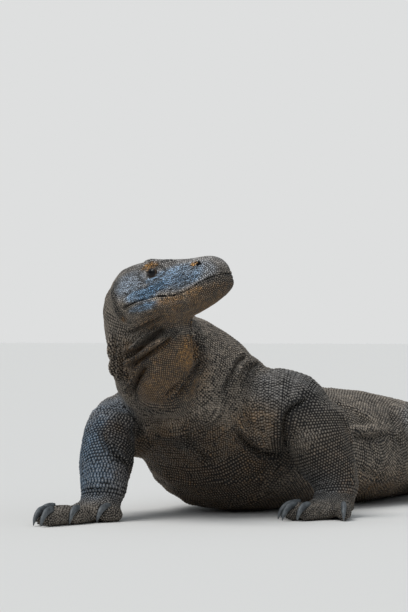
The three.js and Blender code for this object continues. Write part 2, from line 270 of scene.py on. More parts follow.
def closed_piece(
    name: str,
    corners: list[Array],
    faces: list[tuple[int, ...]],
    marks: tuple[str, list[Triple]],
    material: Material,
) -> Piece:
    """A closed, smooth piece with its faces outward.

    Args:
        name: The piece's name.
        corners: Its corners, in metres.
        faces: The corners of each face.
        marks: The name of an attribute that its material reads, and its value at each corner.
        material: The finish.

    Returns:
        The piece.
    """
    mesh = bpy.data.meshes.new(name)
    mesh.from_pydata([tuple(c) for c in corners], [], faces)
    store(mesh, marks[0], np.array(marks[1]))
    shell = bmesh.new()
    shell.from_mesh(mesh)
    bmesh.ops.remove_doubles(shell, verts=shell.verts, dist=1e-6)
    bmesh.ops.recalc_face_normals(shell, faces=shell.faces)
    shell.to_mesh(mesh)
    shell.free()
    smooth(mesh)
    mesh.materials.append(material)
    return made(name, mesh)


# ---- nodes
def add_node(tree: Tree, kind: str, settings: Values, inputs: Values) -> Node:
    """Adds a node to a tree.

    Args:
        tree: The tree of a material, of the world or of a modifier.
        kind: The node's type.
        settings: Its properties, set before its sockets.
        inputs: A value, socket or Wire for each input, by name or number.

    Returns:
        The node.
    """
    node = tree.nodes.new(kind)
    for key, value in (settings or {}).items():
        setattr(node, key, value)
    for key, value in (inputs or {}).items():
        value = value.socket if isinstance(value, Wire) else value
        if isinstance(value, Socket):
            tree.links.new(value, node.inputs[key])
        else:
            node.inputs[key].default_value = value
    return node


class Wire:
    """A shader value that takes part in sums."""

    def __init__(self, shader: "Shader", socket: Socket) -> None:
        """Wraps a socket of the shader's tree."""
        self.shader = shader
        self.socket = socket

    def _sum(self, operation: str, swapped: bool, other: object) -> "Wire":
        """A Math node on this value and another, which comes first if they are swapped."""
        first, second = (other, self) if swapped else (self, other)
        return self.shader.value("ShaderNodeMath", {"operation": operation}, {0: first, 1: second})

    __add__ = partialmethod(_sum, "ADD", False)
    __radd__ = partialmethod(_sum, "ADD", True)
    __sub__ = partialmethod(_sum, "SUBTRACT", False)
    __rsub__ = partialmethod(_sum, "SUBTRACT", True)
    __mul__ = partialmethod(_sum, "MULTIPLY", False)
    __rmul__ = partialmethod(_sum, "MULTIPLY", True)

    def eased(self, low: float, high: float) -> "Wire":
        """A smooth step of this value from 0 at low to 1 at high."""
        settings = {"interpolation_type": "SMOOTHSTEP"}
        inputs = {"Value": self, "From Min": low, "From Max": high}
        return self.shader.value("ShaderNodeMapRange", settings, inputs, "Result")


class Shader:
    """One material and the nodes in it."""

    def __init__(self, name: str) -> None:
        """Starts an empty material of that name."""
        self.material = bpy.data.materials.new(name)
        self.material.use_nodes = True
        self.tree = self.material.node_tree
        self.tree.nodes.clear()

    def node(self, kind: str, settings: Values = None, inputs: Values = None) -> Node:
        """Adds a node with its settings, then its inputs."""
        return add_node(self.tree, kind, settings, inputs)

    def value(
        self, kind: str, settings: Values = None, inputs: Values = None, out: int | str = 0
    ) -> Wire:
        """Adds a node and wraps one of its outputs."""
        return Wire(self, self.node(kind, settings, inputs).outputs[out])

    def place(self) -> Wire:
        """The point's place on the object."""
        return self.value("ShaderNodeTexCoord", out="Object")

    def split(self, name: str) -> tuple[Wire, Wire, Wire]:
        """The three numbers of a named attribute."""
        source = self.value("ShaderNodeAttribute", {"attribute_name": name}, out="Vector")
        parts = self.node("ShaderNodeSeparateXYZ", inputs={0: source})
        return tuple(Wire(self, parts.outputs[i]) for i in range(3))

    def noise(self, scale: float, detail: float = 2.0, vector: Wire | None = None) -> Wire:
        """Smooth noise over the object's own coordinates, around 0.5."""
        inputs = {"Vector": vector or self.place(), "Scale": scale, "Detail": detail}
        return self.value("ShaderNodeTexNoise", inputs=inputs)

    def mix(self, factor: object, first: object, second: object, blend: str = "MIX") -> Wire:
        """Blends two colours: first at factor 0, second at factor 1."""
        settings = {"data_type": "RGBA", "blend_type": blend, "clamp_factor": True}
        return self.value("ShaderNodeMix", settings, {0: factor, 6: first, 7: second}, out=2)

    def grey(self, value: Wire) -> Wire:
        """A number as a grey colour."""
        return self.value("ShaderNodeCombineColor", inputs={0: value, 1: value, 2: value})

    def bump(self, height: Wire, depth: float, strength: float = 1.0) -> Wire:
        """A bumped normal from a height, with the depth of its full swing in metres."""
        inputs = {"Height": height, "Distance": depth, "Strength": strength}
        return self.value("ShaderNodeBump", inputs=inputs)

    def finish(self, sockets: dict) -> Material:
        """Ends the material in one Principled surface with the given sockets."""
        surface = self.node("ShaderNodeBsdfPrincipled", inputs=sockets)
        self.node("ShaderNodeOutputMaterial", inputs={"Surface": surface.outputs[0]})
        return self.material


# ---- finishes
@dataclass(frozen=True)
class HideFinish:
    """Scaly hide, coloured by the markings, with painted shade in the gaps between scales and pale
    tips that are partly dust and partly a painted sheen.
    """

    name: str
    roughness: float = 0.62
    stone: int = 0x8C8072
    slate: int = 0x688AA8
    umber: int = 0x6F522E
    ochre: int = 0xB0803F
    # Near-black painted shade in the gaps between scales and on the bare skin.
    gap: int = 0x0E0C0A
    # Pale tips: partly dust and partly a painted sheen.
    pale: int = 0xB9B2A6
    dust: float = 0.6
    dust_and_sheen_from: tuple[float, float] = (0.6, 1.1)
    # Where the gaps' painted shade fades out up each scale's flank.
    gap_shade_edge: tuple[float, float] = (0.08, 0.72)
    blotch_scale: float = 28.0
    blotch: float = 0.34
    grain_scale: float = 2600.0
    grain: float = 0.00025
    grain_gloss: float = 0.18

    def dress(self) -> Material:
        """Builds the material."""
        shader = Shader(self.name)
        slate, umber, ochre = shader.split("tint")
        # Tone carries painted light and shade; rise is the lift up each scale, which sets the gaps'
        # painted shade and the tips' painted sheen.
        tone, speck, rise = shader.split("wear")
        colour = shader.mix(slate, srgb(self.stone), srgb(self.slate))
        colour = shader.mix(umber, colour, srgb(self.umber))
        colour = shader.mix(ochre, colour, srgb(self.ochre))
        blotch = shader.noise(self.blotch_scale, 3.0).eased(0.3, 0.75) * self.blotch + 0.83
        level = tone * speck * blotch
        colour = shader.mix(1.0, colour, shader.grey(level), "MULTIPLY")
        # Pale tips, partly dust and partly a painted sheen, then painted shade down each scale's
        # flank into the gap.
        tip = shader.mix(rise.eased(*self.dust_and_sheen_from) * self.dust, colour, srgb(self.pale))
        colour = shader.mix(rise.eased(*self.gap_shade_edge), srgb(self.gap), tip)
        fine = shader.noise(self.grain_scale, 2.0)
        rough = self.roughness + (fine - 0.5) * self.grain_gloss
        normal = shader.bump(fine, self.grain, 0.6)
        return shader.finish({"Base Color": colour, "Roughness": rough, "Normal": normal})


@dataclass(frozen=True)
class HornFinish:
    """Claw horn: satin grey with fine lines along it, paler where it is worn."""

    name: str
    dark: int = 0x2C3034
    pale: int = 0x676C6F
    roughness: float = 0.34
    streaks: tuple[float, float] = (2.0, 26.0)
    ridge: float = 0.0003

    def dress(self) -> Material:
        """Builds the material."""
        shader = Shader(self.name)
        along, round_it, _ = shader.split("horn")
        stretched = {0: along * self.streaks[0], 1: round_it * self.streaks[1], 2: 0.0}
        streaks = shader.value("ShaderNodeCombineXYZ", inputs=stretched)
        lines = shader.noise(3.0, 3.0, streaks)
        patch = shader.noise(160.0, 3.0)
        share = (lines * 0.55 + patch * 0.6 + along * 0.1).eased(0.35, 0.85)
        colour = shader.mix(share, srgb(self.dark), srgb(self.pale))
        rough = self.roughness + patch * 0.22
        normal = shader.bump(lines, self.ridge, 0.5)
        return shader.finish({"Base Color": colour, "Roughness": rough, "Normal": normal})


@dataclass(frozen=True)
class EyeFinish:
    """A wet eye: black pupil, dark iris with a thin tan ring, and dark flesh round it."""

    name: str
    pupil: float = 4.2
    ring: float = 6.3
    black: int = 0x05070B
    iris: tuple[int, int] = (0x11141B, 0x2B2117)
    tan: int = 0x4A3A2A
    flesh: int = 0x151213

    def dress(self) -> Material:
        """Builds the material; the eye stores each point's millimetres from its axis."""
        shader = Shader(self.name)
        off_axis, turn, _ = shader.split("iris")
        stretched = {0: turn * 9.0, 1: off_axis * 0.4, 2: 0.0}
        rays = shader.value("ShaderNodeCombineXYZ", inputs=stretched)
        fibre = shader.noise(4.0, 2.0, rays)
        iris = shader.mix(fibre.eased(0.3, 0.7), srgb(self.iris[0]), srgb(self.iris[1]))
        inner = off_axis.eased(self.ring - 1.2, self.ring - 0.4)
        outer = off_axis.eased(self.ring - 0.1, self.ring + 0.5)
        iris = shader.mix(inner * (1 - outer), iris, srgb(self.tan))
        iris = shader.mix(off_axis.eased(self.ring, self.ring + 0.7), iris, srgb(self.flesh))
        colour = shader.mix(off_axis.eased(self.pupil, self.pupil + 0.5), srgb(self.black), iris)
        return shader.finish({"Base Color": colour, "Roughness": 0.05, "Specular IOR Level": 0.22})


@dataclass(frozen=True)
class FloorFinish:
    """Plain pale floor."""

    name: str = "studio_floor"
    colour: int = 0xE2E0DC

    def dress(self) -> Material:
        """Builds the material."""
        return Shader(self.name).finish({"Base Color": srgb(self.colour), "Roughness": 0.9})


# ---- the head's axes
@dataclass(frozen=True)
class HeadFrame:
    """The head's own directions: back from the snout tip, out to its right, and up."""

    yaw: float = math.radians(85)
    pitch: float = math.radians(15)
    eye_back: float = 97.0
    eye_up: float = 27.0

    @cached_property
    def axes(self) -> Array:
        """Rows: backward, to the right, upward."""
        flat = math.cos(self.pitch)
        level = math.cos(self.yaw) * flat, math.sin(self.yaw) * flat
        snoutward = np.array([*level, math.sin(self.pitch)])
        rightward = unit(np.cross(snoutward, UP))
        return np.stack([-snoutward, rightward, np.cross(rightward, snoutward)])

    @cached_property
    def tip(self) -> Array:
        """The snout tip, found from the midpoint of the eyes."""
        eyes = [np.mean(BOXES[node], axis=0) for node in ("eye_left", "eye_right")]
        return np.mean(eyes, axis=0) - mm([self.eye_back, 0, self.eye_up]) @ self.axes

    def at(self, places: Sequence) -> Array:
        """Points of the frame from places in the head, in millimetres."""
        return self.tip + mm(places) @ self.axes

    def inside(self, points: Array) -> Array:
        """Places in the head, in millimetres, of points of the frame."""
        return (points - self.tip) @ self.axes.T / MM

    def both(self, places: Sequence) -> list[Array]:
        """A line on the right side of the head and the same line on the left, in the frame."""
        return [self.at([(b, side * r, h) for b, r, h in places]) for side in (1, -1)]


HEAD = HeadFrame()
HEAD_END = 168.0
HEAD_BACK = 165.0
MOUTH_LINE = (
    (-6, 0), (0, 0), (5.5, -1), (27, -4.7), (48, -10.4),
    (68, -12), (94, -6.7), (117, -6.2), (141, -8.5),
)
MOUTH = mm(MOUTH_LINE)
ROW_PITCH = 5.0
FULL_DEPTH = 8.0
FACE_GAIN = 2.4


def parts_of(local: Array) -> tuple[Array, Array, Array]:
    """Places in the head as how far back, how far out on either side, and how far up they are."""
    return local[:, 0], np.abs(local[:, 1]), local[:, 2]


def above_mouth(local: Array) -> Array:
    """How far places in the head are above the line between the lips, in millimetres."""
    return local[:, 2] - np.interp(local[:, 0], MOUTH[:, 0] / MM, MOUTH[:, 1] / MM)


def face_rows(local: Array) -> Array:
    """Fine ridges and valleys that follow the mouth over cheek and muzzle.

    Args:
        local: Places in the head.

    Returns:
        The height of the rows at each place, from about -1 to 1.
    """
    back, out, above = parts_of(local)
    off = above_mouth(local)
    bend = off - 0.16 * np.clip(back - 60, 0, 60) * ramp(off, 2, 24)
    wobble = 0.9 * ripple(local * MM, 24 * MM, 51, 6)
    fade = ramp(back, 150, 132)
    there = ramp(off, 4, 8) * ramp(above, 30, 20) * fade * ramp(back, 22, 36) * (out > 14)
    below = ramp(off, -5, -9) * ramp(off, -34, -26) * fade * ramp(back, 55, 75) * (out > 14)
    strength = 0.7 + 0.4 * ripple(local * MM, 30 * MM, 53, 6)
    wave = np.sin(2 * math.pi * (bend + wobble) / ROW_PITCH)
    return wave * strength * (there + 0.7 * below)


# ---- the skin
@dataclass(frozen=True)
class Fold:
    """A groove or a ridge in the skin along a line, in metres; a negative depth makes a ridge."""

    line: Array
    depth: float
    width: float
    lip: float = 0.35
    ends: float = 0.18

    def beside(self, points: Array, reach: float) -> Array:
        """Which points lie in the line's box, grown by a reach in metres."""
        low, high = self.line.min(0) - reach, self.line.max(0) + reach
        return np.all((points > low) & (points < high), axis=1)

    def press(self, points: Array) -> Array:
        """How far each point moves out along its normal.

        Args:
            points: Places in metres.

        Returns:
            The moves, in metres.
        """
        near = self.beside(points, 3.2 * self.width)
        move = np.zeros(len(points))
        if not near.any():
            return move
        distance, share = gap_to(points[near], self.line)
        fade = ramp(np.minimum(share, 1 - share), -0.02, self.ends) if self.ends else 1.0
        edge = bell(distance - 1.9 * self.width, 0.9 * self.width)
        move[near] = self.depth * MM * (-bell(distance, self.width) + self.lip * edge) * fade
        return move


def fold(line: Sequence, depth: float, width: float, *more: float) -> Fold:
    """A fold along a line in the frame, with everything in millimetres."""
    return Fold(spaced(mm(line), 3 * MM)[0], depth, width * MM, *more)


def head_folds(places: Sequence, depth: float, width: float, *more: float) -> list[Fold]:
    """The same fold on both sides of the head, from places in the head."""
    return [Fold(spaced(line, 2 * MM)[0], depth, width * MM, *more) for line in HEAD.both(places)]


# Each row of a fold table: its places, depth and width, then its lip and ends if they differ.
BODY_FOLDS = [fold(*row) for row in (
    # throat: ridges and valleys that sweep from the side of the neck up to the jaw
    ([(919, -15, 215), (939, 11, 227), (946, 35, 240), (948, 50, 248), (944, 63, 257),
      (940, 73, 266)], -9.5, 3.4),
    ([(929, -8, 208), (940, 21, 226), (945, 39, 234), (945, 55, 242), (940, 68, 252),
      (936, 77, 263)], 8.0, 3.0),
    ([(946, 44, 237), (941, 64, 248), (937, 75, 258), (928, 83, 267)], -5.0, 2.6),
    ([(928, -12, 229), (944, 19, 236), (950, 40, 251), (948, 55, 262),
      (945, 69, 270)], 10.5, 4.2, 0.2),
    ([(930, -15, 238), (944, 17, 244), (951, 35, 257), (949, 53, 268), (947, 68, 275)], -6.5, 3.2),
    ([(947, 3, 260), (954, 27, 269), (960, 50, 278), (959, 71, 284)], 5.0, 3.0),
    ([(950, 6, 268), (961, 33, 276), (965, 54, 284), (963, 75, 291)], -3.4, 3.0),
    # side of the neck, below the ear
    ([(931, -26, 246), (928, -24, 236), (921, -26, 226), (913, -28, 215),
      (892, -38, 194)], -4.6, 3.0),
    ([(938, -12, 250), (934, -14, 238), (924, -18, 224), (910, -25, 208),
      (893, -32, 189)], 5.0, 2.8, 0.2),
    ([(919, -15, 215), (912, -18, 208), (903, -22, 197)], -3.0, 2.6),
    ([(945, -14, 262), (938, -22, 249), (927, -27, 235), (916, -32, 221), (903, -37, 207),
      (889, -43, 193)], 6.0, 3.0, 0.2),
    ([(940, -28, 258), (931, -32, 245), (919, -36, 231), (905, -42, 216),
      (889, -49, 199)], -5.5, 3.6),
    ([(944, 24, 222), (934, 14, 212), (927, 7, 205), (913, -8, 193), (890, -26, 181),
      (871, -37, 168)], -8.0, 3.2),
    ([(942, 34, 217), (925, 10, 201), (911, -6, 188), (895, -16, 175),
      (878, -26, 164)], 9.0, 3.2, 0.1),
    # right edge of the throat pouch, with hanging folds beside it
    ([(841, 50, 276), (841, 58, 260), (848, 64, 244), (851, 68, 230), (854, 68, 217),
      (873, 70, 208), (881, 66, 198), (886, 62, 187), (887, 52, 177),
      (887, 38, 164)], 12.0, 5.0, 0.1),
    ([(839, 50, 276), (852, 60, 258), (858, 64, 244), (862, 68, 228), (872, 72, 216)], -4.5, 2.6),
    ([(918, 85, 284), (911, 85, 274), (908, 83, 261), (897, 79, 247), (880, 74, 233)], 4.5, 2.6),
    ([(926, 82, 283), (922, 80, 268), (914, 80, 252), (905, 80, 238)], -3.2, 2.6),
    ([(892, 66, 200), (894, 58, 189), (894, 47, 177), (893, 33, 168)], -4.2, 3.0),
    ([(899, 68, 204), (898, 64, 196), (899, 54, 186), (900, 42, 176), (898, 27, 169)], 3.6, 2.6),
    # the collar that hangs over the chest
    ([(868, -62, 156), (857, -49, 138), (845, -40, 131), (832, -26, 125), (835, 1, 127),
      (836, 27, 130), (835, 51, 139), (825, 70, 150), (812, 82, 166)], -15.0, 6.5, 0.0),
    ([(864, -51, 138), (840, -46, 124), (822, -30, 117), (825, -5, 119), (829, 22, 122),
      (830, 48, 131), (822, 65, 141)], 15.0, 4.6, 0.0),
    ([(846, -48, 118), (826, -30, 106), (824, -5, 107), (827, 22, 110), (826, 48, 118),
      (818, 66, 129)], 8.0, 8.0, 0.0),
    ([(850, -44, 160), (858, -20, 152), (866, 4, 152), (868, 26, 156), (862, 48, 164),
      (850, 66, 180)], 2.6, 5.0),
    ([(875, -25, 166), (886, -2, 161), (886, 18, 159), (884, 36, 162), (879, 49, 169)], -3.4, 3.2),
    ([(867, -33, 162), (874, -9, 155), (878, 13, 153), (877, 35, 156), (871, 51, 164)], 5.0, 3.0),
    # frill on the nape
    ([(932, -30, 246), (910, -46, 235), (905, -45, 221), (890, -48, 202),
      (876, -55, 190)], -4.6, 5.4, 0.0),
    # before and over the left shoulder
    ([(750, 85, 229), (771, 86, 224), (788, 87, 215), (801, 87, 204), (809, 86, 193),
      (815, 85, 183), (818, 82, 172)], 6.0, 3.4, 0.3),
    ([(746, 88, 225), (770, 88, 218), (785, 90, 208), (797, 89, 194), (806, 88, 182)], -3.6, 3.6),
    ([(782, 92, 188), (768, 95, 202), (755, 93, 211), (737, 91, 217), (712, 86, 216)], 5.0, 3.0),
    ([(786, 92, 194), (772, 97, 206), (758, 95, 216), (738, 92, 221)], -3.0, 2.8),
    # armpits, chest and the inner edge of each forearm
    ([(725, 178, 178), (739, 164, 163), (748, 152, 154), (751, 146, 139), (745, 141, 122),
      (730, 134, 106), (706, 126, 92)], 11.0, 3.4, 0.1),
    ([(785, 85, 126), (769, 89, 110), (751, 94, 99), (734, 102, 90), (715, 110, 90),
      (703, 115, 93)], 8.0, 4.0),
    ([(777, 92, 132), (764, 98, 118), (748, 104, 107), (732, 112, 100)], -4.0, 6.0),
    ([(759, 12, 54), (752, 44, 52), (736, 72, 55), (720, 92, 60), (708, 106, 72),
      (698, 115, 87)], 3.2, 4.4),
    ([(828, 21, 122), (817, 23, 114), (803, 24, 102), (788, 32, 89), (777, 34, 78),
      (768, 40, 70)], 6.0, 4.6),
    ([(777, 97, 167), (773, 97, 144), (765, 97, 129)], 3.0, 5.0),
    ([(897, -65, 126), (914, -44, 101), (907, -30, 86), (885, -27, 74)], 7.0, 3.8),
    # flank and groin
    ([(530, 131, 111), (515, 132, 109), (489, 135, 106), (460, 137, 105), (426, 140, 106),
      (401, 141, 104)], 5.0, 4.2, 0.35, 0.35),
    ([(520, 132, 118), (506, 132, 118), (475, 134, 117), (432, 136, 119)], -4.0, 6.0),
    ([(354, 116, 140), (368, 126, 128), (387, 138, 112), (382, 143, 94),
      (370, 147, 78)], 6.5, 7.0, 0.5, 0.3),
    ([(530, 84, 160), (497, 98, 152), (470, 112, 142), (446, 124, 132),
      (424, 134, 120)], -6.0, 6.0, 0.0, 0.35),
    ([(692, 203, 150), (676, 209, 124), (670, 212, 98)], -3.4, 4.0),
    ([(497, 135, 61), (452, 138, 47), (403, 142, 42)], 3.4, 5.0),
)]


FACE_FOLDS = [crease for row in (
    ([(86, 46, -17), (94, 47, -25), (104, 46, -28), (116, 45, -26)], 2.6, 2.4),
    ([(60, 36, -20), (76, 41, -24), (96, 45, -32), (118, 44, -34)], 1.6, 2.6),
    ([(157, 44, 26), (158, 47, 12), (157, 47, -2), (155, 43, -18), (150, 38, -26)], 7.5, 2.8, 0.3),
    ([(60, 20, 36), (72, 25, 41), (90, 28, 47), (108, 28, 49), (124, 26, 48)], -2.2, 3.0, 0.2),
    ([(74, 33, 34), (84, 35, 38), (97, 35, 40), (110, 35, 39)], 1.8, 2.2, 0.2),
    ([(38, 28, 14), (56, 31, 16), (74, 37, 14), (92, 42, 8), (108, 45, 4),
      (124, 48, 2)], -2.0, 2.2),
    ([(40, 29, 8), (58, 33, 9), (76, 39, 6), (96, 44, 2), (116, 48, -1)], -1.8, 1.9),
    ([(34, 27, 2), (52, 31, 1), (72, 38, -3), (92, 44, 0)], -1.4, 1.8),
    ([(36, 26, 18), (52, 29, 20), (70, 35, 18.5), (86, 40, 13.5), (100, 43, 10),
      (118, 46, 9)], 2.0, 1.7),
    ([(38, 29, 11), (56, 32, 12.5), (74, 38, 10), (92, 43, 5), (108, 46, 1),
      (126, 49, -1)], 1.8, 1.5),
    ([(36, 29, 5), (55, 32, 5), (74, 39, 1.5), (92, 44, -1), (108, 48, -3)], 1.6, 1.5),
    ([(118, 48, 14), (128, 48, 8), (138, 48, 3), (146, 46, -2)], 1.6, 1.8),
    ([(120, 50, -2), (132, 51, -2), (144, 49, -4)], -1.4, 2.6),
) for crease in head_folds(*row)]


@dataclass(frozen=True)
class Swell:
    """A broad bulge, or hollow where its rise is negative, on both sides of the head."""

    place: Triple
    rise: float
    radius: float

    def press(self, local: Array) -> Array:
        """How far each point moves out, from its place in the head."""
        flipped = np.stack([local[:, 0], np.abs(local[:, 1]), local[:, 2]], axis=1)
        return self.rise * MM * bell(np.linalg.norm(flipped - self.place, axis=1), self.radius)


@dataclass(frozen=True)
class Lids:
    """The opening of an eye and the folds of skin round it; sizes in millimetres."""

    back: float = HEAD.eye_back
    above: float = HEAD.eye_up
    out: float = 28.0
    radius: float = 9.5
    half_length: float = 7.8
    upper: float = 4.7
    lower: float = 5.5
    tilt: float = math.radians(-8)
    margin: float = 1.1

    def offset(self, local: Array) -> Array:
        """How far each point lies outside the opening's edge, in the side view of the head."""
        along = local[:, 0] - self.back
        up = local[:, 2] - self.above
        a = along * math.cos(self.tilt) - up * math.sin(self.tilt)
        b = along * math.sin(self.tilt) + up * math.cos(self.tilt)
        height = np.where(b > 0, self.upper, self.lower)
        reach = (np.abs(a / self.half_length) ** 1.7 + np.abs(b / height) ** 1.9) ** 0.55
        return (reach - 1) * (self.half_length + height) / 2

    def near(self, local: Array) -> Array:
        """Which points lie round an eye."""
        return (np.abs(local[:, 1]) > 12) & (np.abs(local[:, 1]) < 50) & (self.offset(local) < 15)

    def settle(self, local: Array) -> Array:
        """New places in the head for points round an eye.

        Args:
            local: Their places in the head.

        Returns:
            Places where the lids hug the ball, with a rolled margin and folds, and the opening lies
            below it.
        """
        side = np.where(local[:, 1] < 0, -1.0, 1.0)
        ball = np.stack([side * 0 + self.back, side * self.out, side * 0 + self.above], axis=1)
        arm = local - ball
        reach = np.linalg.norm(arm, axis=1)
        off = self.offset(local)
        below = ramp(arm[:, 2], 3, -4)
        hug = self.radius + self.margin - 2.6 * ramp(off, 0.5, -0.4) + 0.5 * bell(off - 1.2, 0.8)
        hug += 1.1 * ramp(off, 2.4, 5.5)
        share = ramp(off, 8.5, 3.0)
        new = reach + (hug - reach) * share
        new += -0.9 * bell(off - 2.4, 0.5) + (0.4 + 1.0 * below) * bell(off - 5.0, 1.6)
        new += -(1.1 + 1.0 * below) * bell(off - 8.4, 1.0) + 0.5 * bell(off - 10.6, 1.0)
        moved = ball + arm / np.maximum(reach, 1e-6)[:, None] * new[:, None]
        return np.where(self.near(local)[:, None], moved, local)


@dataclass(frozen=True)
class Nostril:
    """An oval pit on each side of the snout, with a raised bead behind it; sizes in millimetres."""

    back: float = 27.0
    above: float = 21.0
    half_length: float = 4.6
    half_height: float = 3.1
    depth: float = 4.6

    def reach(self, local: Array) -> Array:
        """How far each place in the head is from the pit's middle, with 1 at its rim."""
        along = (local[:, 0] - self.back) / self.half_length
        return np.hypot(along, (local[:, 2] - self.above) / self.half_height)

    def press(self, local: Array) -> Array:
        """How far each point moves out, from its place in the head."""
        reach = self.reach(local)
        bead = np.hypot((local[:, 0] - 33.5) / 3.2, (local[:, 2] - 23) / 2.6)
        pit = -self.depth * ramp(reach, 1.12, 0.6) + 0.8 * bell(reach - 1.45, 0.3)
        return (pit + 1.1 * bell(bead, 1.0)) * MM * (np.abs(local[:, 1]) > 8)


@dataclass
class Skin:
    """The one skin over all the flesh; sizes in millimetres."""

    voxel: float = 3.2
    coat: float = 0.9
    face_coat: float = 0.4
    row_relief: float = 0.75
    thin_tail: tuple[float, float] = (-850.0 * MM, -1040.0 * MM)
    tail_swell: float = 0.5
    tail_share: float = 0.6
    off_ground: tuple[float, float] = (2 * MM, 14 * MM)
    slack: tuple[tuple[float, float, int], ...] = ((0.6, 42, 3), (0.35, 17, 5))
    fine_from: tuple[float, float] = (0.69, 0.05)
    lid_rise: float = 0.36
    bed_rise: float = 0.06
    lip_gap: float = 1.0
    most_triangles: int = 192_000
    pull: float = 0.55
    joint_rounds: int = 45
    wrist_rounds: int = 120
    brow_rounds: int = 26
    brow_pull: float = 0.5
    smooth_rounds: int = 70
    in_and_out: tuple[float, float] = (0.6, -0.62)
    soft_rounds: int = 12
    joint_fade: tuple[int, float, float] = (16, 0.12, 0.75)
    wrist_fade: tuple[int, float, float] = (26, 0.1, 0.7)
    head_joint: float = 0.35
    softness: tuple[tuple[str, float], ...] = (
        ("foot", 0.25), ("head", 0.55), ("jaw", 0.55), ("tail_4", 0.05),
    )
    wrists: tuple[tuple[Triple, Triple], ...] = (
        ((917, -53, 24), (28, 28, 26)),
        ((684, 192, 24), (30, 30, 24)),
        ((119, -196, 20), (24, 24, 20)),
        ((187, 204, 20), (24, 24, 20)),
    )
    lids: Lids = field(default_factory=Lids)
    nostril: Nostril = field(default_factory=Nostril)
    swells: tuple[Swell, ...] = (
        Swell((137, 46, 6), 2.6, 20),
        Swell((112, 42, 4), -2.0, 12),
        Swell((152, 40, 22), 1.5, 14),
        Swell((70, 34, 18), -1.5, 11),
        Swell((98, 22, 47), 1.6, 11),
        Swell((16, 18, 22), 1.0, 9),
        Swell((56, 22, 36), 2.0, 13),
        Swell((98, 34, 37), -1.6, 6),
    )

    def __post_init__(self) -> None:
        """Finds the solids of the flesh."""
        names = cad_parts.keys()
        self.flesh = [n for n in names if not n.startswith(("eye", "claw"))]
        self._index_solids()

    def _index_solids(self) -> None:
        """Makes a tree of all flesh triangles that tells which node is nearest to a point."""
        corners: list[Vector] = []
        faces: list[tuple[int, ...]] = []
        self.owner: list[str] = []
        for node in self.flesh:
            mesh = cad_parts[node].data
            first = len(corners)
            corners += [v.co.copy() for v in mesh.vertices]
            faces += [tuple(first + i for i in p.vertices) for p in mesh.polygons]
            self.owner += [node] * len(mesh.polygons)
        self.solids = BVHTree.FromPolygons(corners, faces)

    def node_at(self, point: Sequence[float]) -> str:
        """The name of the flesh node nearest to a point."""
        return self.owner[self.solids.find_nearest(Vector(point))[2]]

    def build(self) -> Piece:
        """Remeshes, smooths and carves the skin, and sets its size."""
        piece = self._remeshed()
        mesh = piece.data
        labels = np.array([self.node_at(p) for p in corners_of(mesh)])
        self._relax(mesh, labels)
        self._refine(mesh, self._front_details)
        self._refine(mesh, self._face_details)
        self._carve(mesh)
        self.surface = BVHTree.FromObject(piece, bpy.context.evaluated_depsgraph_get())
        self.piece = piece
        LOG.info("skin carved: %d faces", len(mesh.polygons))
        return piece

    def _remeshed(self) -> Piece:
        """One closed surface round copies of the flesh solids and the eyes."""
        shell = bmesh.new()
        for node in [*self.flesh, "eye_left", "eye_right"]:
            shell.from_mesh(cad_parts[node].data)
        bmesh.ops.remove_doubles(shell, verts=shell.verts, dist=1e-5)
        for middle, half in self.wrists:
            size = Matrix.Diagonal((*(Vector(half) * MM), 1.0))
            place = Matrix.Translation(Vector(middle) * MM) @ size
            bmesh.ops.create_icosphere(shell, subdivisions=4, radius=1.0, matrix=place)
        mesh = bpy.data.meshes.new("flesh")
        shell.to_mesh(mesh)
        shell.free()
        piece = made("flesh", mesh)
        modifier = piece.modifiers.new("one_surface", "REMESH")
        modifier.mode = "VOXEL"
        modifier.voxel_size = self.voxel * MM
        modifier.use_smooth_shade = True
        return settled(piece, "komodo_skin")

    def _relax(self, mesh: Mesh, labels: Array) -> None:
        """Smooths the facets of the solids away, gently on feet and head, without shrinking.

        Args:
            mesh: The remeshed skin.
            labels: The node that each vertex lies on.
        """
        points = corners_of(mesh)
        edges = read(mesh.edges, "vertices", 2, np.int32)
        count = np.bincount(edges.ravel(), minlength=len(points))[:, None]
        ends = np.concatenate([edges, edges[:, ::-1]])

        def on(word: str) -> Array:
            """Which vertices lie on nodes with a word in their name."""
            return np.char.find(labels, word) >= 0

        def step(rows: Array) -> Array:
            """The mean over each vertex's neighbours."""
            columns = rows[ends[:, 1]].T
            total = [np.bincount(ends[:, 0], column, len(points)) for column in columns]
            return np.stack(total, axis=1) / count

        def spread(chosen: Array, left_out: Array, rounds: int, low: float, high: float) -> Array:
            """A mask that fades away from the ends of the chosen edges.

            Args:
                chosen: Marks the edges.
                left_out: Marks vertices that stay 0 at the start.
                rounds: How many vertices far it spreads.
                low: The share that becomes 0.
                high: The share that becomes 1.

            Returns:
                A column of shares.
            """
            mask = np.zeros((len(points), 1))
            mask[edges[chosen].ravel()] = 1.0
            mask[left_out] = 0.0
            for _ in range(rounds):
                mask = np.maximum(mask * 0.995, step(mask))
            return ramp(mask, low, high)

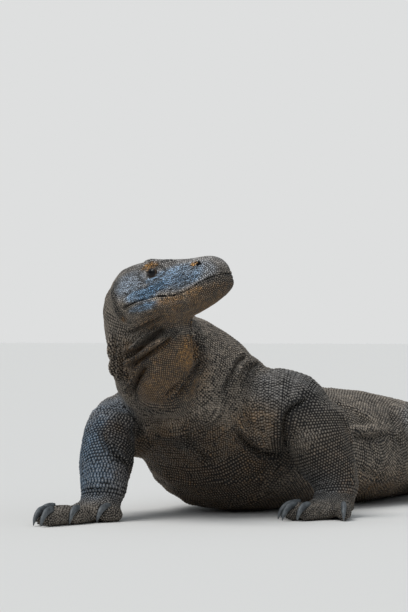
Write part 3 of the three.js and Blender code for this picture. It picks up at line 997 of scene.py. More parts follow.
        soft = np.ones((len(points), 1))
        for word, weight in self.softness:
            soft[on(word)] = weight
        for _ in range(self.soft_rounds):
            soft = step(soft)
        border = labels[edges[:, 0]] != labels[edges[:, 1]]
        joint = spread(border, on("jaw") | on("tail_4"), *self.joint_fade)
        joint[on("head")] *= self.head_joint
        at_foot = np.char.endswith(labels, "foot")[edges].any(axis=1)
        nowhere = np.zeros(len(points), dtype=bool)
        wrist = spread(border & at_foot, nowhere, *self.wrist_fade)
        for i in range(self.wrist_rounds):
            here = wrist if i >= self.joint_rounds else np.maximum(joint, wrist)
            points += self.pull * here * (step(points) - points)
        local = HEAD.inside(points)
        brow = ramp(local[:, 2], 30, 37) * ramp(local[:, 0], 40, 52) * ramp(local[:, 0], 150, 138)
        brow = (brow * (np.abs(local[:, 1]) < 50))[:, None]
        for _ in range(self.brow_rounds):
            points += self.brow_pull * brow * (step(points) - points)
        for _ in range(self.smooth_rounds):
            for pull in self.in_and_out:
                points += pull * soft * (step(points) - points)
        points[:, 2] = np.maximum(points[:, 2], 0.0)
        place_corners(mesh, points)

    @staticmethod
    def _refine(mesh: Mesh, wanted: Callable[[Array], Array]) -> None:
        """Splits some faces into four.

        Args:
            mesh: The skin.
            wanted: Tells from the faces' middles which ones to split.
        """
        shell = bmesh.new()
        shell.from_mesh(mesh)
        shell.faces.ensure_lookup_table()
        middles = np.array([f.calc_center_median() for f in shell.faces])
        chosen = np.nonzero(wanted(middles))[0]
        edges = {e for i in chosen for e in shell.faces[i].edges}
        bmesh.ops.subdivide_edges(shell, edges=list(edges), cuts=1, use_grid_fill=True)
        bmesh.ops.triangulate(shell, faces=[f for f in shell.faces if len(f.verts) > 4])
        shell.to_mesh(mesh)
        shell.free()

    def _front_details(self, points: Array) -> Array:
        """Where the body needs finer faces: the forequarters, hands and feet."""
        feet = [BOXES[node] for node in BOXES if node.endswith("foot")]
        pad = 6 * MM
        boxed = [np.all((points > low - pad) & (points < high + pad), axis=1) for low, high in feet]
        ahead, high = self.fine_from
        return (points[:, 0] > ahead) & (points[:, 2] > high) | np.any(boxed, axis=0)

    def _face_details(self, points: Array) -> Array:
        """Where the head needs the finest faces: mouth, eyes, nostrils and ears."""
        local = HEAD.inside(points)
        back, out, above = parts_of(local)
        lips = (np.abs(above_mouth(local)) < 4.5) & (back > -8) & (back < 146)
        eyes = (np.abs(self.lids.offset(local)) < 11) & (out > 15)
        pit = np.hypot(back - self.nostril.back, above - self.nostril.above)
        ear = (np.abs(back - 157) < 6) & (np.abs(above - 4) < 24) & (out > 30)
        return (lips | eyes | (pit < 8) & (out > 12) | ear) & (back < HEAD_BACK)

    def _carve(self, mesh: Mesh) -> None:
        """Presses each fold, lid, lip and pit in, and draws the skin in by the coat's depth.

        Args:
            mesh: The refined skin.
        """
        points = corners_of(mesh)
        normals = read(mesh.vertices, "normal", 3).astype(float)
        local = HEAD.inside(points)
        back, out, above = parts_of(local)
        on_head = ramp(back, 178, 166) * (out < 62) * (np.abs(above) < 70)
        move = np.zeros(len(points))
        for crease in (*BODY_FOLDS, *FACE_FOLDS):
            move += crease.press(points)
        face = sum(swell.press(local) for swell in self.swells)
        face = face + self._mouth(local) + self.nostril.press(local)
        move += (face + self.row_relief * MM * face_rows(local)) * on_head
        slack = sum(rise * MM * ripple(points, wave * MM, seed) for rise, wave, seed in self.slack)
        move += slack * ramp(points[:, 2], *self.off_ground) * (1 - on_head)
        thin = ramp(points[:, 0], *self.thin_tail)
        move = move * (1 - thin) + self.tail_swell * MM * thin
        coat = self.coat + (self.face_coat - self.coat) * on_head
        move -= MM * coat * (1 - self.tail_share * thin)
        points += normals * move[:, None]
        round_eye = self.lids.near(HEAD.inside(points)) & (back < 130) & (above > 5)
        points[round_eye] = HEAD.at(self.lids.settle(HEAD.inside(points[round_eye])))
        points[:, 2] = np.maximum(points[:, 2], 0.0)
        place_corners(mesh, points)

    @staticmethod
    def _mouth(local: Array) -> Array:
        """The line between the lips and the roll of each lip."""
        back, off = local[:, 0], above_mouth(local)
        corner = 1 + 1.1 * bell(back - 130, 22)
        line = -2.5 * corner * bell(off, 0.6 + 0.35 * corner)
        line = line + 0.7 * bell(off - 3.0, 1.7) + 0.6 * bell(off + 3.0, 1.7)
        line -= 0.6 * bell(off - 6.2, 1.0) + 0.5 * bell(off + 6.2, 1.1)
        return line * MM * (ramp(back, 149, 138) * (back > -12))

    def bare(self, points: Array) -> Array:
        """Where no scale grows: in the eye's opening, between the lips and in the nostrils."""
        local = HEAD.inside(points)
        back, out, above = parts_of(local)
        lips = (np.abs(above_mouth(local)) < self.lip_gap) & (back < 143) & (back > -8)
        edge = np.where(above < self.lids.above - 2, 3.4, 1.4)
        eye = (self.lids.offset(local) < edge) & (out > 14) & (back < 120)
        pit = (self.nostril.reach(local) < 1.05) & (out > 8)
        return (back < HEAD_BACK) & (out < 60) & (lips | eye | pit)

    def finish(self, markings: "Markings", finish: HideFinish) -> None:
        """Thins the skin to its share of triangles, marks and dresses it.

        Args:
            markings: The colours of the animal, with painted light and shade in their lightness.
            finish: The hide.
        """
        triangles = triangles_in(self.piece.data)
        if triangles > self.most_triangles:
            modifier = self.piece.modifiers.new("lighter", "DECIMATE")
            modifier.ratio = self.most_triangles / triangles
            self.piece = settled(self.piece, "komodo_skin")
        mesh = self.piece.data
        points = corners_of(mesh)
        tint, tone = markings.at(points)
        local = HEAD.inside(points)
        back, out, _ = parts_of(local)
        off = self.lids.offset(local)
        soft = (off > -0.1) & (off < 4.4) & (out > 15) & (back < 120)
        # The skin's low rise gives it the gaps' near-black painted shade, darkest in the bare
        # openings; the soft lids stay paler.
        rise = np.where(soft, self.lid_rise, self.bed_rise)
        rise[self.bare(points) & ~soft] = 0.0
        store(mesh, "tint", tint)
        # Tone carries painted light and shade; the rise sets how much of the gaps' painted shade
        # the skin takes.
        store(mesh, "wear", np.stack([tone, np.ones(len(points)), rise], axis=1))
        smooth(mesh)
        dress_only(mesh, finish.dress())
        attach(self.piece, "root")
        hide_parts(*self.flesh)
        LOG.info("skin: %d vertices, %d faces", len(mesh.vertices), len(mesh.polygons))


# ---- markings, with painted light and shade in their lightness
@dataclass(frozen=True)
class Patch:
    """A soft patch of one marking, or of lightness with its painted light and shade: its middle and
    half sizes in millimetres, and its strength.
    """

    middle: Triple
    half: Triple
    strength: float

    def weight(self, points: Array) -> Array:
        """The patch's strength at each point, in the same units."""
        away = np.linalg.norm((points - self.middle) / self.half, axis=1)
        return self.strength * ramp(away, 1.25, 0.55)


@dataclass(frozen=True)
class Markings:
    """How slate, umber and ochre lie over the animal, and how light each place is, with painted
    light and shade in that lightness.
    """

    slate: tuple[Patch, ...] = (
        Patch((903, -62, 88), (74, 60, 76), 1.0),
        Patch((850, -85, 140), (50, 45, 40), 0.5),
        Patch((735, 145, 185), (60, 60, 40), 0.2),
        Patch((690, 175, 40), (60, 50, 40), 0.35),
        Patch((290, 150, 115), (60, 45, 60), 0.3),
        Patch((230, -170, 105), (60, 45, 60), 0.25),
    )
    face_slate: tuple[Patch, ...] = (
        Patch((60, 30, 12), (55, 30, 20), 0.7),
        Patch((112, 48, 1), (28, 20, 10), 1.0),
        Patch((84, 42, 6), (30, 20, 8), 0.9),
        Patch((52, 33, 8), (26, 20, 8), 0.75),
        Patch((97, 38, 17), (14, 14, 5), 0.9),
        Patch((112, 48, -16), (26, 20, 6), 0.9),
        Patch((30, 25, 10), (35, 25, 20), 0.35),
        Patch((74, 35, 22), (20, 16, 9), 0.7),
        Patch((130, 42, 20), (30, 24, 24), 0.48),
        Patch((70, 0, 34), (110, 60, 40), 0.2),
    )
    umber: tuple[Patch, ...] = (
        Patch((800, 30, 70), (150, 130, 75), 1.0),
        Patch((905, 40, 215), (75, 75, 70), 1.0),
        Patch((760, 110, 125), (60, 50, 42), 0.55),
        Patch((450, -12, 10), (420, 200, 62), 0.9),
        Patch((885, -45, 120), (30, 26, 40), 0.8),
        Patch((690, 190, 90), (55, 50, 50), 0.35),
    )
    face_umber: tuple[Patch, ...] = (
        Patch((26, 0, -26), (56, 50, 24), 1.0),
        Patch((80, 30, -36), (70, 50, 16), 1.0),
        Patch((70, 40, -18), (30, 20, 8), 0.5),
    )
    ochre: tuple[Patch, ...] = (
        Patch((900, 80, 236), (26, 18, 32), 0.75),
        Patch((775, 100, 140), (22, 22, 26), 0.12),
        Patch((690, 215, 40), (24, 16, 40), 0.4),
    )
    face_ochre: tuple[Patch, ...] = (
        Patch((98, 36, 38), (15, 12, 5.5), 1.7),
        Patch((34, 25, 23.5), (5.5, 8, 4.5), 1.4),
        Patch((156, 44, -22), (10, 12, 6), 0.95),
        Patch((70, 40, -17), (32, 14, 5), 0.55),
        Patch((40, 30, -16), (14, 12, 8), 0.4),
    )
    # Lightness of the body: partly its own tone and partly painted shade, the collar's painted
    # shadow on the chest and darker chest, shoulder, forearms and hand where they face away from
    # the light.
    light: tuple[Patch, ...] = (
        Patch((905, 50, 212), (75, 75, 65), 0.4),
        Patch((700, 190, 85), (85, 80, 100), -0.52),
        Patch((745, 150, 190), (85, 80, 55), -0.38),
        Patch((885, -30, 110), (30, 26, 42), -0.4),
        Patch((905, -62, 85), (75, 62, 80), -0.42),
        Patch((790, 40, 70), (130, 130, 56), -0.48),
        Patch((835, 10, 100), (44, 70, 20), -0.4),
        Patch((760, 200, 15), (80, 80, 24), -0.16),
        Patch((460, 130, 30), (140, 60, 40), 0.35),
    )
    # Lightness of the face: partly its own tone and partly painted light on the lit cheeks and
    # brow, with painted shade under the snout and jaw.
    face_tone_and_painted_light: tuple[Patch, ...] = (
        Patch((72, 36, 10), (80, 34, 30), 1.5),
        Patch((24, 0, 26), (42, 40, 18), 0.75),
        Patch((130, 42, 24), (26, 22, 26), 0.22),
        Patch((112, 46, 4), (20, 14, 8), 0.35),
        Patch((10, 0, -20), (46, 50, 20), -0.28),
        Patch((110, 44, -20), (34, 20, 12), -0.2),
        Patch((93, 27, 47), (34, 11, 6), 1.1),
    )

    level: float = 0.69
    palest: float = 1.6

    @staticmethod
    def _painted_fold_shade(points: Array) -> Array:
        """How much painted shade darkens the valleys of folds, and how much painted light pales
        their crests.

        Args:
            points: Places in metres.

        Returns:
            The share by which the tone changes at each place.
        """
        shade = np.zeros(len(points))
        gains = [1.0] * len(BODY_FOLDS) + [FACE_GAIN] * len(FACE_FOLDS)
        for crease, gain in zip((*BODY_FOLDS, *FACE_FOLDS), gains):
            near = crease.beside(points, abs(crease.depth) * MM + 3 * crease.width)
            if near.any():
                away = gap_to(points[near], crease.line)[0] - 0.7 * abs(crease.depth) * MM
                deep = np.clip(gain * crease.depth / FULL_DEPTH, -0.5, 1)
                deep = deep * bell(np.clip(away, 0, None), crease.width)
                if crease.depth > 0:
                    shade[near] = np.maximum(shade[near], deep)
                else:
                    shade[near] += 0.8 * deep
        return -0.6 * np.clip(shade, -0.6, 1)

    @staticmethod
    def _lids_and_lid_shade(head: Array) -> tuple[Array, Array]:
        """How much each place is of the pale lower lid, and of the painted shade in the crease
        round the lids.
        """
        off = Lids().offset(head)
        there = (head[:, 1] > 14) & (head[:, 0] < 125)
        lid = bell(off - 4.2, 2.4) * ramp(head[:, 2], 27, 23) * there
        crease = bell(off - 8.6, 2.1) * ramp(head[:, 2], 38, 33) * there
        return lid, crease

    @staticmethod
    def _mouth_shade(head: Array) -> Array:
        """How much darker the lips are at the mouth's corner and under the snout."""
        back, off = head[:, 0], above_mouth(head)
        corner = 0.8 * bell(off, 2.6) * ramp(back, 96, 116) * ramp(back, 152, 142)
        front = 0.75 * bell(off + 1.2, 2.8) * ramp(back, 34, 18)
        return corner + front

    def at(self, points: Array) -> tuple[Array, Array]:
        """The markings at points of the frame.

        Args:
            points: Places in metres.

        Returns:
            Rows of slate, umber and ochre, and the lightness of each place, which holds painted
            light and shade.
        """
        body = points / MM
        head = HEAD.inside(points)
        head[:, 1] = np.abs(head[:, 1])
        on_head = ramp(head[:, 0], 172, 160) * (head[:, 2] > -60)

        def over(wide: tuple[Patch, ...], close: tuple[Patch, ...], fold_in: Callable) -> Array:
            """Patches of the body and of the face joined at the edge of the head."""
            far = fold_in([p.weight(body) for p in wide], axis=0) * (1 - on_head)
            return far + fold_in([p.weight(head) for p in close], axis=0) * on_head

        slate = over(self.slate, self.face_slate, np.max)
        umber = over(self.umber, self.face_umber, np.max)
        ochre = over(self.ochre, self.face_ochre, np.max)
        dapple = ripple(points, 26 * MM, 11)
        slate = np.clip(slate + 0.12 * dapple * slate, 0, 1)
        umber = np.clip(umber * (1 + 0.2 * dapple), 0, 1)
        dust = ramp(ripple(points, 9 * MM, 21), 0.9, 1.7) * umber * 0.5
        ochre = np.clip(ochre * (0.75 + 0.45 * ripple(points, 8 * MM, 17)) + dust, 0, 1)
        tone = 1.0 + 0.1 * ripple(points, 60 * MM, 31) + 0.1 * ripple(points, 13 * MM, 37)
        # Painted shade: the body grows darker towards the floor, on its underside.
        tone *= 1 - 0.42 * ramp(body[:, 2], 60, 10) * (1 - on_head)
        # Lightness patches, partly the animal's tone and partly painted light and shade.
        tone *= self.level * (1 + over(self.light, self.face_tone_and_painted_light, np.sum))
        # On the head: painted light on the ridges of the rows along the mouth and painted shade in
        # their valleys, with random tone.
        tone *= 1 + on_head * (0.5 * face_rows(head) + 0.22 * ripple(points, 7 * MM, 41))
        # The lower lid turns slate; the crease round the lids is darkened with painted shade.
        lid, crease = self._lids_and_lid_shade(head)
        slate = np.maximum(slate, 0.35 * lid)
        tone *= (1 - 0.12 * lid) * (1 - 0.8 * crease)
        tone *= 1 - on_head * self._mouth_shade(head)
        # Painted shade in the folds' valleys and painted light on their crests.
        tone *= 1 + self._painted_fold_shade(points)
        return np.stack([slate, umber, ochre], axis=1), np.minimum(tone, self.palest)


# ---- the coat
class Lay(Enum):
    """How the scales of one row stand against those of the next."""

    BRICK = 0.5
    GRID = 0.0


class Form(Enum):
    """A scale's outline: sides, how wide its crown is, and how far its crown leans back."""

    BEAD = (6, 0.78, 0.0)
    GRANULE = (6, 0.76, 0.0)
    TILE = (6, 0.84, -0.1)
    SCUTE = (6, 0.86, -0.12)


@dataclass(frozen=True)
class Band:
    """Rows of scales in rings round one length of the body; sizes in millimetres."""

    piece: str
    node: str
    line: Line
    crown: Triple
    along: float
    around: float
    rise: float = 0.34
    reach: float = 200.0
    lay: Lay = Lay.BRICK
    form: Form = Form.BEAD
    rays: int = 96
    wave: float = 0.0


SPINE: Line = (
    (930, 24, 336), (926.6, 7.6, 322), (916.6, 1.6, 302), (896.6, -3.4, 273),
    (860.6, -2.4, 238), (814.6, -2.4, 204), (760.6, -1.4, 174), (700.6, -1.4, 148),
    (640.6, -1.4, 123), (560.6, -6.4, 104), (420.6, -12.4, 94), (310.6, -8.4, 88),
    (220.6, 1.6, 84), (140.6, 15.6, 79), (60.6, 31.6, 71), (-59.4, 51.6, 57),
    (-199.4, 63.6, 46), (-349.4, 57.6, 37), (-509.4, 25.6, 29), (-669.4, -32.4, 22),
    (-819.4, -106.4, 15), (-949.4, -188.4, 9.5), (-1039.4, -252.4, 6), (-1075.4, -279.4, 4),
)

BANDS = [
    Band("coat_neck", "neck_upper", SPINE[0:7], (0.2, 0.9, 0.3), 4.1, 3.7, reach=140),
    Band("coat_neck", "neck_lower", SPINE[2:10], (-0.2, 0.5, 0.9), 4.2, 3.8, reach=160),
    Band("coat_throat", "throat_pouch", (
        (930, 84, 316), (928.6, 77.6, 304), (922.6, 59.6, 280), (910.6, 37.6, 248),
        (884.6, 19.6, 214), (848.6, 11.6, 180), (810.6, 5.6, 150),
    ), (0.8, 0.3, 0.0), 2.9, 2.8, 0.2, 70, Lay.GRID, Form.GRANULE),
    Band("coat_thorax", "thorax", SPINE[5:11], UP, 4.5, 4.1, wave=1.6),
    Band("coat_abdomen", "abdomen", SPINE[7:13], UP, 4.8, 4.6, 0.32, wave=2.4),
    Band("coat_pelvis", "pelvis", SPINE[10:16], UP, 4.9, 4.7, wave=2.0),
    Band("coat_tail", "tail_1", SPINE[12:18], UP, 5.6, 4.6, 0.26, 120, form=Form.TILE),
    Band("coat_tail", "tail_2", SPINE[14:20], UP, 5.4, 4.2, 0.26, 100, form=Form.TILE),
    Band("coat_tail_end", "tail_3", SPINE[16:22], UP, 5.0, 3.9, 0.26, 80, form=Form.TILE),
    Band("coat_tail_end", "tail_4", SPINE[18:24], UP, 4.4, 3.4, 0.26, 60, form=Form.TILE, rays=48),
    Band("coat_front_left", "front_left_upper", (
        (704.6, 57.6, 140), (716.6, 91.6, 154), (702.6, 127.6, 154),
        (693.6, 155.6, 147), (686.6, 183.6, 141),
    ), (0.5, 0.0, 0.9), 4.7, 4.6, 0.38, 80, Lay.GRID),
    Band("coat_front_left", "front_left_lower", (
        (690.6, 159.6, 190), (690.6, 161.6, 146), (691.6, 166.6, 112),
        (684.6, 178.6, 76), (680.6, 189.6, 50), (684.6, 194.6, 28),
    ), (0.8, 0.6, 0.0), 4.3, 4.2, reach=70),
    Band("coat_front_right", "front_right_upper", (
        (704.6, -42.4, 135), (746.6, -76.4, 136), (788.6, -86.4, 134),
        (822.6, -88.4, 134), (852.6, -85.4, 132),
    ), (0.3, -0.4, 0.9), 4.7, 4.6, 0.38, 80, Lay.GRID),
    Band("coat_front_right", "front_right_lower", (
        (818, -92, 172), (832.6, -87.4, 138), (858.6, -78.4, 115),
        (888.6, -65.4, 82), (910.6, -55.4, 54), (919.6, -51.4, 30),
    ), (0.8, 0.3, 0.4), 4.9, 4.5, 0.38, 70),
    Band("coat_hind_left", "hind_left_upper", (
        (144.6, 33.6, 92), (180.6, 75.6, 98), (236.6, 117.6, 108),
        (286.6, 137.6, 113), (330, 156, 108),
    ), UP, 5.0, 4.8, 0.28, 80),
    Band("coat_hind_left", "hind_left_lower", (
        (300, 130, 150), (292.6, 143.6, 112), (262.6, 161.6, 84),
        (218.6, 183.6, 54), (192.6, 200.6, 35), (184.6, 205.6, 22),
    ), (0.3, 0.8, 0.4), 4.8, 4.6, 0.28, 70),
    Band("coat_hind_right", "hind_right_upper", (
        (144.6, -10.4, 92), (166.6, -60.4, 98), (200.6, -114.4, 104),
        (226.6, -150.4, 106), (246, -192, 100),
    ), UP, 5.0, 4.8, 0.28, 80),
    Band("coat_hind_right", "hind_right_lower", (
        (228, -145, 138), (218.6, -156.4, 104), (194.6, -167.4, 82),
        (152.6, -181.4, 54), (124.6, -193.4, 35), (116.6, -197.4, 22),
    ), (0.3, -0.8, 0.4), 4.8, 4.6, 0.28, 70),
]

FACE = ("head", "lower_jaw")
CLAWS = [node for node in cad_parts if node.startswith("claw")]
FILL_SPACING = {
    "head": 2.35, "lower_jaw": 2.3, "throat_pouch": 2.6, "foot": 2.9, "neck": 3.4, "front": 3.8,
    "": 4.4,
}


def face_piece(side: float) -> str:
    """The coat piece on one side of the face: right of the head above 0, left below."""
    return "coat_face_right" if side > 0 else "coat_face_left"


@dataclass(frozen=True)
class Root:
    """Where one scale grows and how it lies.

    Attributes:
        tangent: The direction of its row.
        size: Its half width, half length and height, in metres.
        chart: Its place on the rolled-out skin, from 0 to 1 each way.
        place: Its place on the skin, in metres.
        normal: The direction out of the skin there.
    """

    tangent: Sequence[float]
    size: Triple
    chart: tuple[float, float]
    place: Sequence[float] = (0.0, 0.0, 0.0)
    normal: Sequence[float] = UP

    def on(self, place: Sequence[float], normal: Sequence[float]) -> "Root":
        """The same scale at a place on the skin."""
        return replace(self, place=tuple(place), normal=tuple(normal))


class Spacing:
    """Keeps scales from growing into each other."""

    CELL = 5 * MM

    def __init__(self) -> None:
        """Starts with no scale."""
        self.cells: dict[tuple[int, int, int], list[Triple]] = {}

    def claim(self, point: Sequence[float], clear: float) -> bool:
        """Takes a place if nothing stands too close to it.

        Args:
            point: The place.
            clear: The distance that has to be free round it, in metres.

        Returns:
            Whether the place was taken.
        """
        x, y, z = (float(v) for v in point)
        home = int(x // self.CELL), int(y // self.CELL), int(z // self.CELL)
        limit = clear * clear
        for cell in product(*((i - 1, i, i + 1) for i in home)):
            for p, q, r in self.cells.get(cell, ()):
                if (p - x) ** 2 + (q - y) ** 2 + (r - z) ** 2 < limit:
                    return False
        self.cells.setdefault(home, []).append((x, y, z))
        return True


@dataclass
class Coat:
    """All scales of the animal, grown on its skin; sizes in millimetres."""

    skin: Skin
    seed: int = 4
    off_floor: float = 1.2
    off_skin: float = 2.5
    tries: int = 1_600_000
    head_share: float = 9.0
    rounds: int = 7
    neighbours: int = 6
    cell: float = 1.1
    beside_row: float = 2.0
    half_wide: float = 0.56
    half_long: float = 0.58
    stretch: tuple[float, float] = (0.75, 1.5)
    row_clear: float = 0.72
    granule_clear: float = 0.8
    granule_half: float = 0.6
    granule_rise: float = 0.42
    spread: float = 1.3
    least_room: float = 0.55
    push: float = 0.22
    nearest: int = 5
    jitter: float = 0.03
    wave_length: float = 55.0
    rows: dict[tuple[str, Form], list[Root]] = field(default_factory=dict)
    spacing: Spacing = field(default_factory=Spacing)

    def grow(self) -> None:
        """Finds the roots of every scale."""
        self._lips()
        for band in BANDS:
            self._rings(band)
        for toe in self._toes():
            self._rings(toe)
        self._fill()

    def _roots(self, piece: str, form: Form) -> list[Root]:
        """The roots kept for one piece and form."""
        return self.rows.setdefault((piece, form), [])

    def _plant(
        self, roots: list[Root], point: Array, root: Root, clear: float, node: str = ""
    ) -> bool:
        """Puts one scale on the skin if it belongs and fits there.

        Args:
            roots: Where its root is kept.
            point: A place on or close to the skin.
            root: How it lies.
            clear: How far it must stand from others, in metres.
            node: The solid it may grow over; none means all.

        Returns:
            Whether it was planted.
        """
        hit, normal, _, away = self.skin.surface.find_nearest(Vector(point))
        if hit is None or away > self.off_skin * MM or hit.z < self.off_floor * MM:
            return False
        under = self.skin.node_at(hit)
        if node and under != node:
            return False
        if under in FACE and self.skin.bare(np.array([hit]))[0]:
            return False
        if not self.spacing.claim(hit, clear):
            return False
        roots.append(root.on(hit, normal))
        return True

    def _rings(self, band: Band) -> None:
        """Grows a band's rows, each scale as long as the gap to the next row.

        Args:
            band: The rows' sizes and place.
        """
        cuts, heading = spaced(mm(band.line), band.along * MM)
        angles = np.linspace(0, math.pi, band.rays // 2 + 1)
        grown = 0
        for turn in (1, -1):
            rings = []
            for centre, ahead in zip(cuts, heading):
                out = unit(np.array(band.crown) - np.dot(band.crown, ahead) * ahead)
                across = np.cross(ahead, out) * turn
                rings.append(self._ring(centre, out, across, angles, band.reach * MM))
            for row, hits in enumerate(rings):
                near = [r for r in rings[max(row - 1, 0) : row + 2] if r is not hits and len(r) > 2]
                if len(hits) > 2 and near:
                    along = row / len(cuts)
                    grown += self._row(band, row, turn, hits, near, heading[row], along)
        LOG.info("rows on %s: %d scales", band.node, grown)

    def _row(
        self,
        band: Band,
        row: int,
        turn: int,
        hits: Array,
        near: list[Array],
        ahead: Array,
        along: float,
    ) -> int:
        """Grows one half row.

        Args:
            band: The band it belongs to.
            row: Its number.
            turn: 1 on the left half, -1 on the right half.
            hits: Points of its line on the skin, from the crown down.
            near: The lines of the rows beside it.
            ahead: The direction of the body there.
            along: How far along the band it lies, from 0 to 1.

        Returns:
            How many scales were planted.
        """
        roots = self._roots(band.piece, band.form)
        wide = band.around * MM
        run = run_along(hits)
        first = band.lay.value * (row % 2)
        first = first if turn == 1 else 1 - first
        at = (np.arange(0, int(run[-1] / wide) + 1) + first) * wide
        at = at[at < run[-1]]
        if not len(at):
            return 0
        spots = at_run(at, run, hits)
        onward = at_run(at + MM, run, hits)
        pitch = np.mean([gap_to(spots, other)[0] for other in near], axis=0)
        shortest, longest = self.stretch
        pitch = np.clip(pitch, shortest * band.along * MM, longest * band.along * MM)
        wave = band.wave * MM * ripple(spots, self.wave_length * MM, 71, 6)
        source = np.random.default_rng(self.seed + row)
        moved = spots + wave[:, None] * ahead + source.normal(0, self.jitter * wide, spots.shape)
        grown = 0
        for j, (spot, step) in enumerate(zip(moved, unit(onward - spots + 1e-9))):
            long = pitch[j] * self.half_long
            size = (wide * self.half_wide, long, band.rise * band.along * MM)
            chart = (along, 0.5 + turn * at[j] / (run[-1] * 2 + 1e-9))
            clear = self.row_clear * min(wide, pitch[j])
            grown += self._plant(roots, spot, Root(step, size, chart), clear, band.node)
        return grown

    def _ring(self, centre: Array, out: Array, across: Array, angles: Array, reach: float) -> Array:
        """Half a ring round the body.

        Args:
            centre: Where the rays start, inside the body.
            out: The direction of the crown.
            across: The direction of the side.
            angles: The turn of each ray from the crown.
            reach: How far a ray goes, in metres.

        Returns:
            Where the rays meet the skin, from the crown down.
        """
        hits = []
        origin = Vector(centre)
        for angle in angles:
            ray = Vector(math.cos(angle) * out + math.sin(angle) * across)
            hit = self.skin.surface.ray_cast(origin, ray, reach)[0]
            if hit is not None:
                hits.append(tuple(hit))
        return np.array(hits)

    def _toes(self) -> list[Band]:
        """Bands of broad plates over each toe, found from its claw."""
        bands = []
        for node in CLAWS:
            claw = Claw(node)
            root = claw.root / MM
            back = 46 if "front" in node else 44
            to_toe = np.array([0, 0, -root[2] + 11])
            line = tuple(tuple(root - claw.forward * b + to_toe) for b in (back, back / 2, 2))
            foot = node.split("_", 1)[1].rsplit("_", 1)[0] + "_foot"
            piece = "coat_feet_" + foot.split("_")[0]
            bands.append(Band(piece, foot, line, UP, 4.2, 4.6, 0.2, 17, form=Form.SCUTE, rays=28))
        return bands

    def _lips(self) -> None:
        """One row of larger scales along each lip."""
        line = np.stack([MOUTH[:, 0], MOUTH[:, 1] * 0, MOUTH[:, 1]], axis=1)
        turns_in = 6 * MM
        for above, size in ((2.5, 3.0), (-2.5, 2.9)):
            path = line + [0, 0, above * MM]
            cuts, _ = spaced(path[1:], size * 1.06 * MM)
            for side in (1, -1):
                right = HEAD.axes[1] * side
                for i, cut in enumerate(cuts):
                    start = HEAD.tip + np.array([max(cut[0], turns_in), 0, cut[2]]) @ HEAD.axes
                    ray = right if cut[0] > turns_in else unit(right * 0.5 - HEAD.axes[0])
                    hit = self.skin.surface.ray_cast(Vector(start), Vector(ray), 80 * MM)[0]
                    if hit is None:
                        continue
                    half = (size * 0.54 * MM, size * 0.5 * MM, 0.8 * MM)
                    chart = (0.02 + 0.9 * i / len(cuts), 0.5 + side * (0.2 + 0.01 * above))
                    roots = self._roots(face_piece(side), Form.TILE)
                    root = Root(HEAD.axes[0], half, chart)
                    self._plant(roots, np.array(hit), root, size * 0.6 * MM)

    def _fill(self) -> None:
        """Grows granules wherever rows have left room."""
        mesh = self.skin.piece.data
        mesh.calc_loop_triangles()
        points = corners_of(mesh)
        triangles = read(mesh.loop_triangles, "vertices", 3, np.int32)
        a, b, c = (points[triangles[:, i]] for i in range(3))
        area = np.linalg.norm(np.cross(b - a, c - a), axis=1) / 2
        source = np.random.default_rng(self.seed)
        on_head = HEAD.inside((a + b + c) / 3)[:, 0] < HEAD_END
        weight = area * np.where(on_head, self.head_share, 1.0)
        pick = source.choice(len(area), size=self.tries, p=weight / weight.sum())
        u, v = source.random((2, self.tries, 1))
        flip = (u + v) > 1
        u, v = np.where(flip, 1 - u, u), np.where(flip, 1 - v, v)
        spots = a[pick] + u * (b[pick] - a[pick]) + v * (c[pick] - a[pick])
        bare = self.skin.bare(spots) | (spots[:, 2] < self.off_floor * MM) | self._covered(spots)
        grades = self._head_grade(spots)
        kept, gaps, nodes = [], [], []
        for i in np.nonzero(~bare)[0]:
            node = self.skin.node_at(spots[i])
            gap = next(g for word, g in FILL_SPACING.items() if word in node)
            gap *= grades[i] if node in FACE else 1.0
            if self.spacing.claim(spots[i], gap * self.granule_clear * MM):
                kept.append(spots[i])
                gaps.append(gap)
                nodes.append(node)
        places, normals, near = self._relaxed(np.array(kept), np.array(gaps) * MM)
        for i, node in enumerate(nodes):
            room = np.clip(near[i], self.least_room * gaps[i] * MM, self.spread * gaps[i] * MM)
            half = self.granule_half * float(room)
            turn = source.uniform(0, 2 * math.pi)
            tangent = (math.cos(turn), math.sin(turn), 0.3)
            roots = self._roots(self._piece_of(node, places[i]), Form.GRANULE)
            size = (half, half, self.granule_rise * half)
            root = Root(tangent, size, self._chart(places[i], node))
            roots.append(root.on(places[i], normals[i]))
        LOG.info("granules: %d", len(nodes))

    def _covered(self, spots: Array) -> Array:
        """Finds on a coarse grid which places have no room for a granule.

        Args:
            spots: The places.

        Returns:
            Whether each is too close to a scale of a row.
        """
        fixed = self._planted()
        cell, margin = self.cell * MM, 0.02
        origin = np.array(CAD_BOX[0]) - margin
        shape = np.ceil((np.array(CAD_BOX[1]) + margin - origin) / cell).astype(int)
        taken = np.zeros(shape, dtype=bool)
        offsets = np.array(list(product(range(-2, 3), repeat=3)))
        offsets = offsets[np.linalg.norm(offsets, axis=1) * cell < self.beside_row * MM]
        home = np.floor((fixed - origin) / cell).astype(int)
        for offset in offsets:
            taken[tuple((home + offset).T)] = True
        return taken[tuple(np.floor((spots - origin) / cell).astype(int).T)]

    def _planted(self) -> Array:
        """The places of all scales planted so far."""
        return np.array([root.place for roots in self.rows.values() for root in roots])

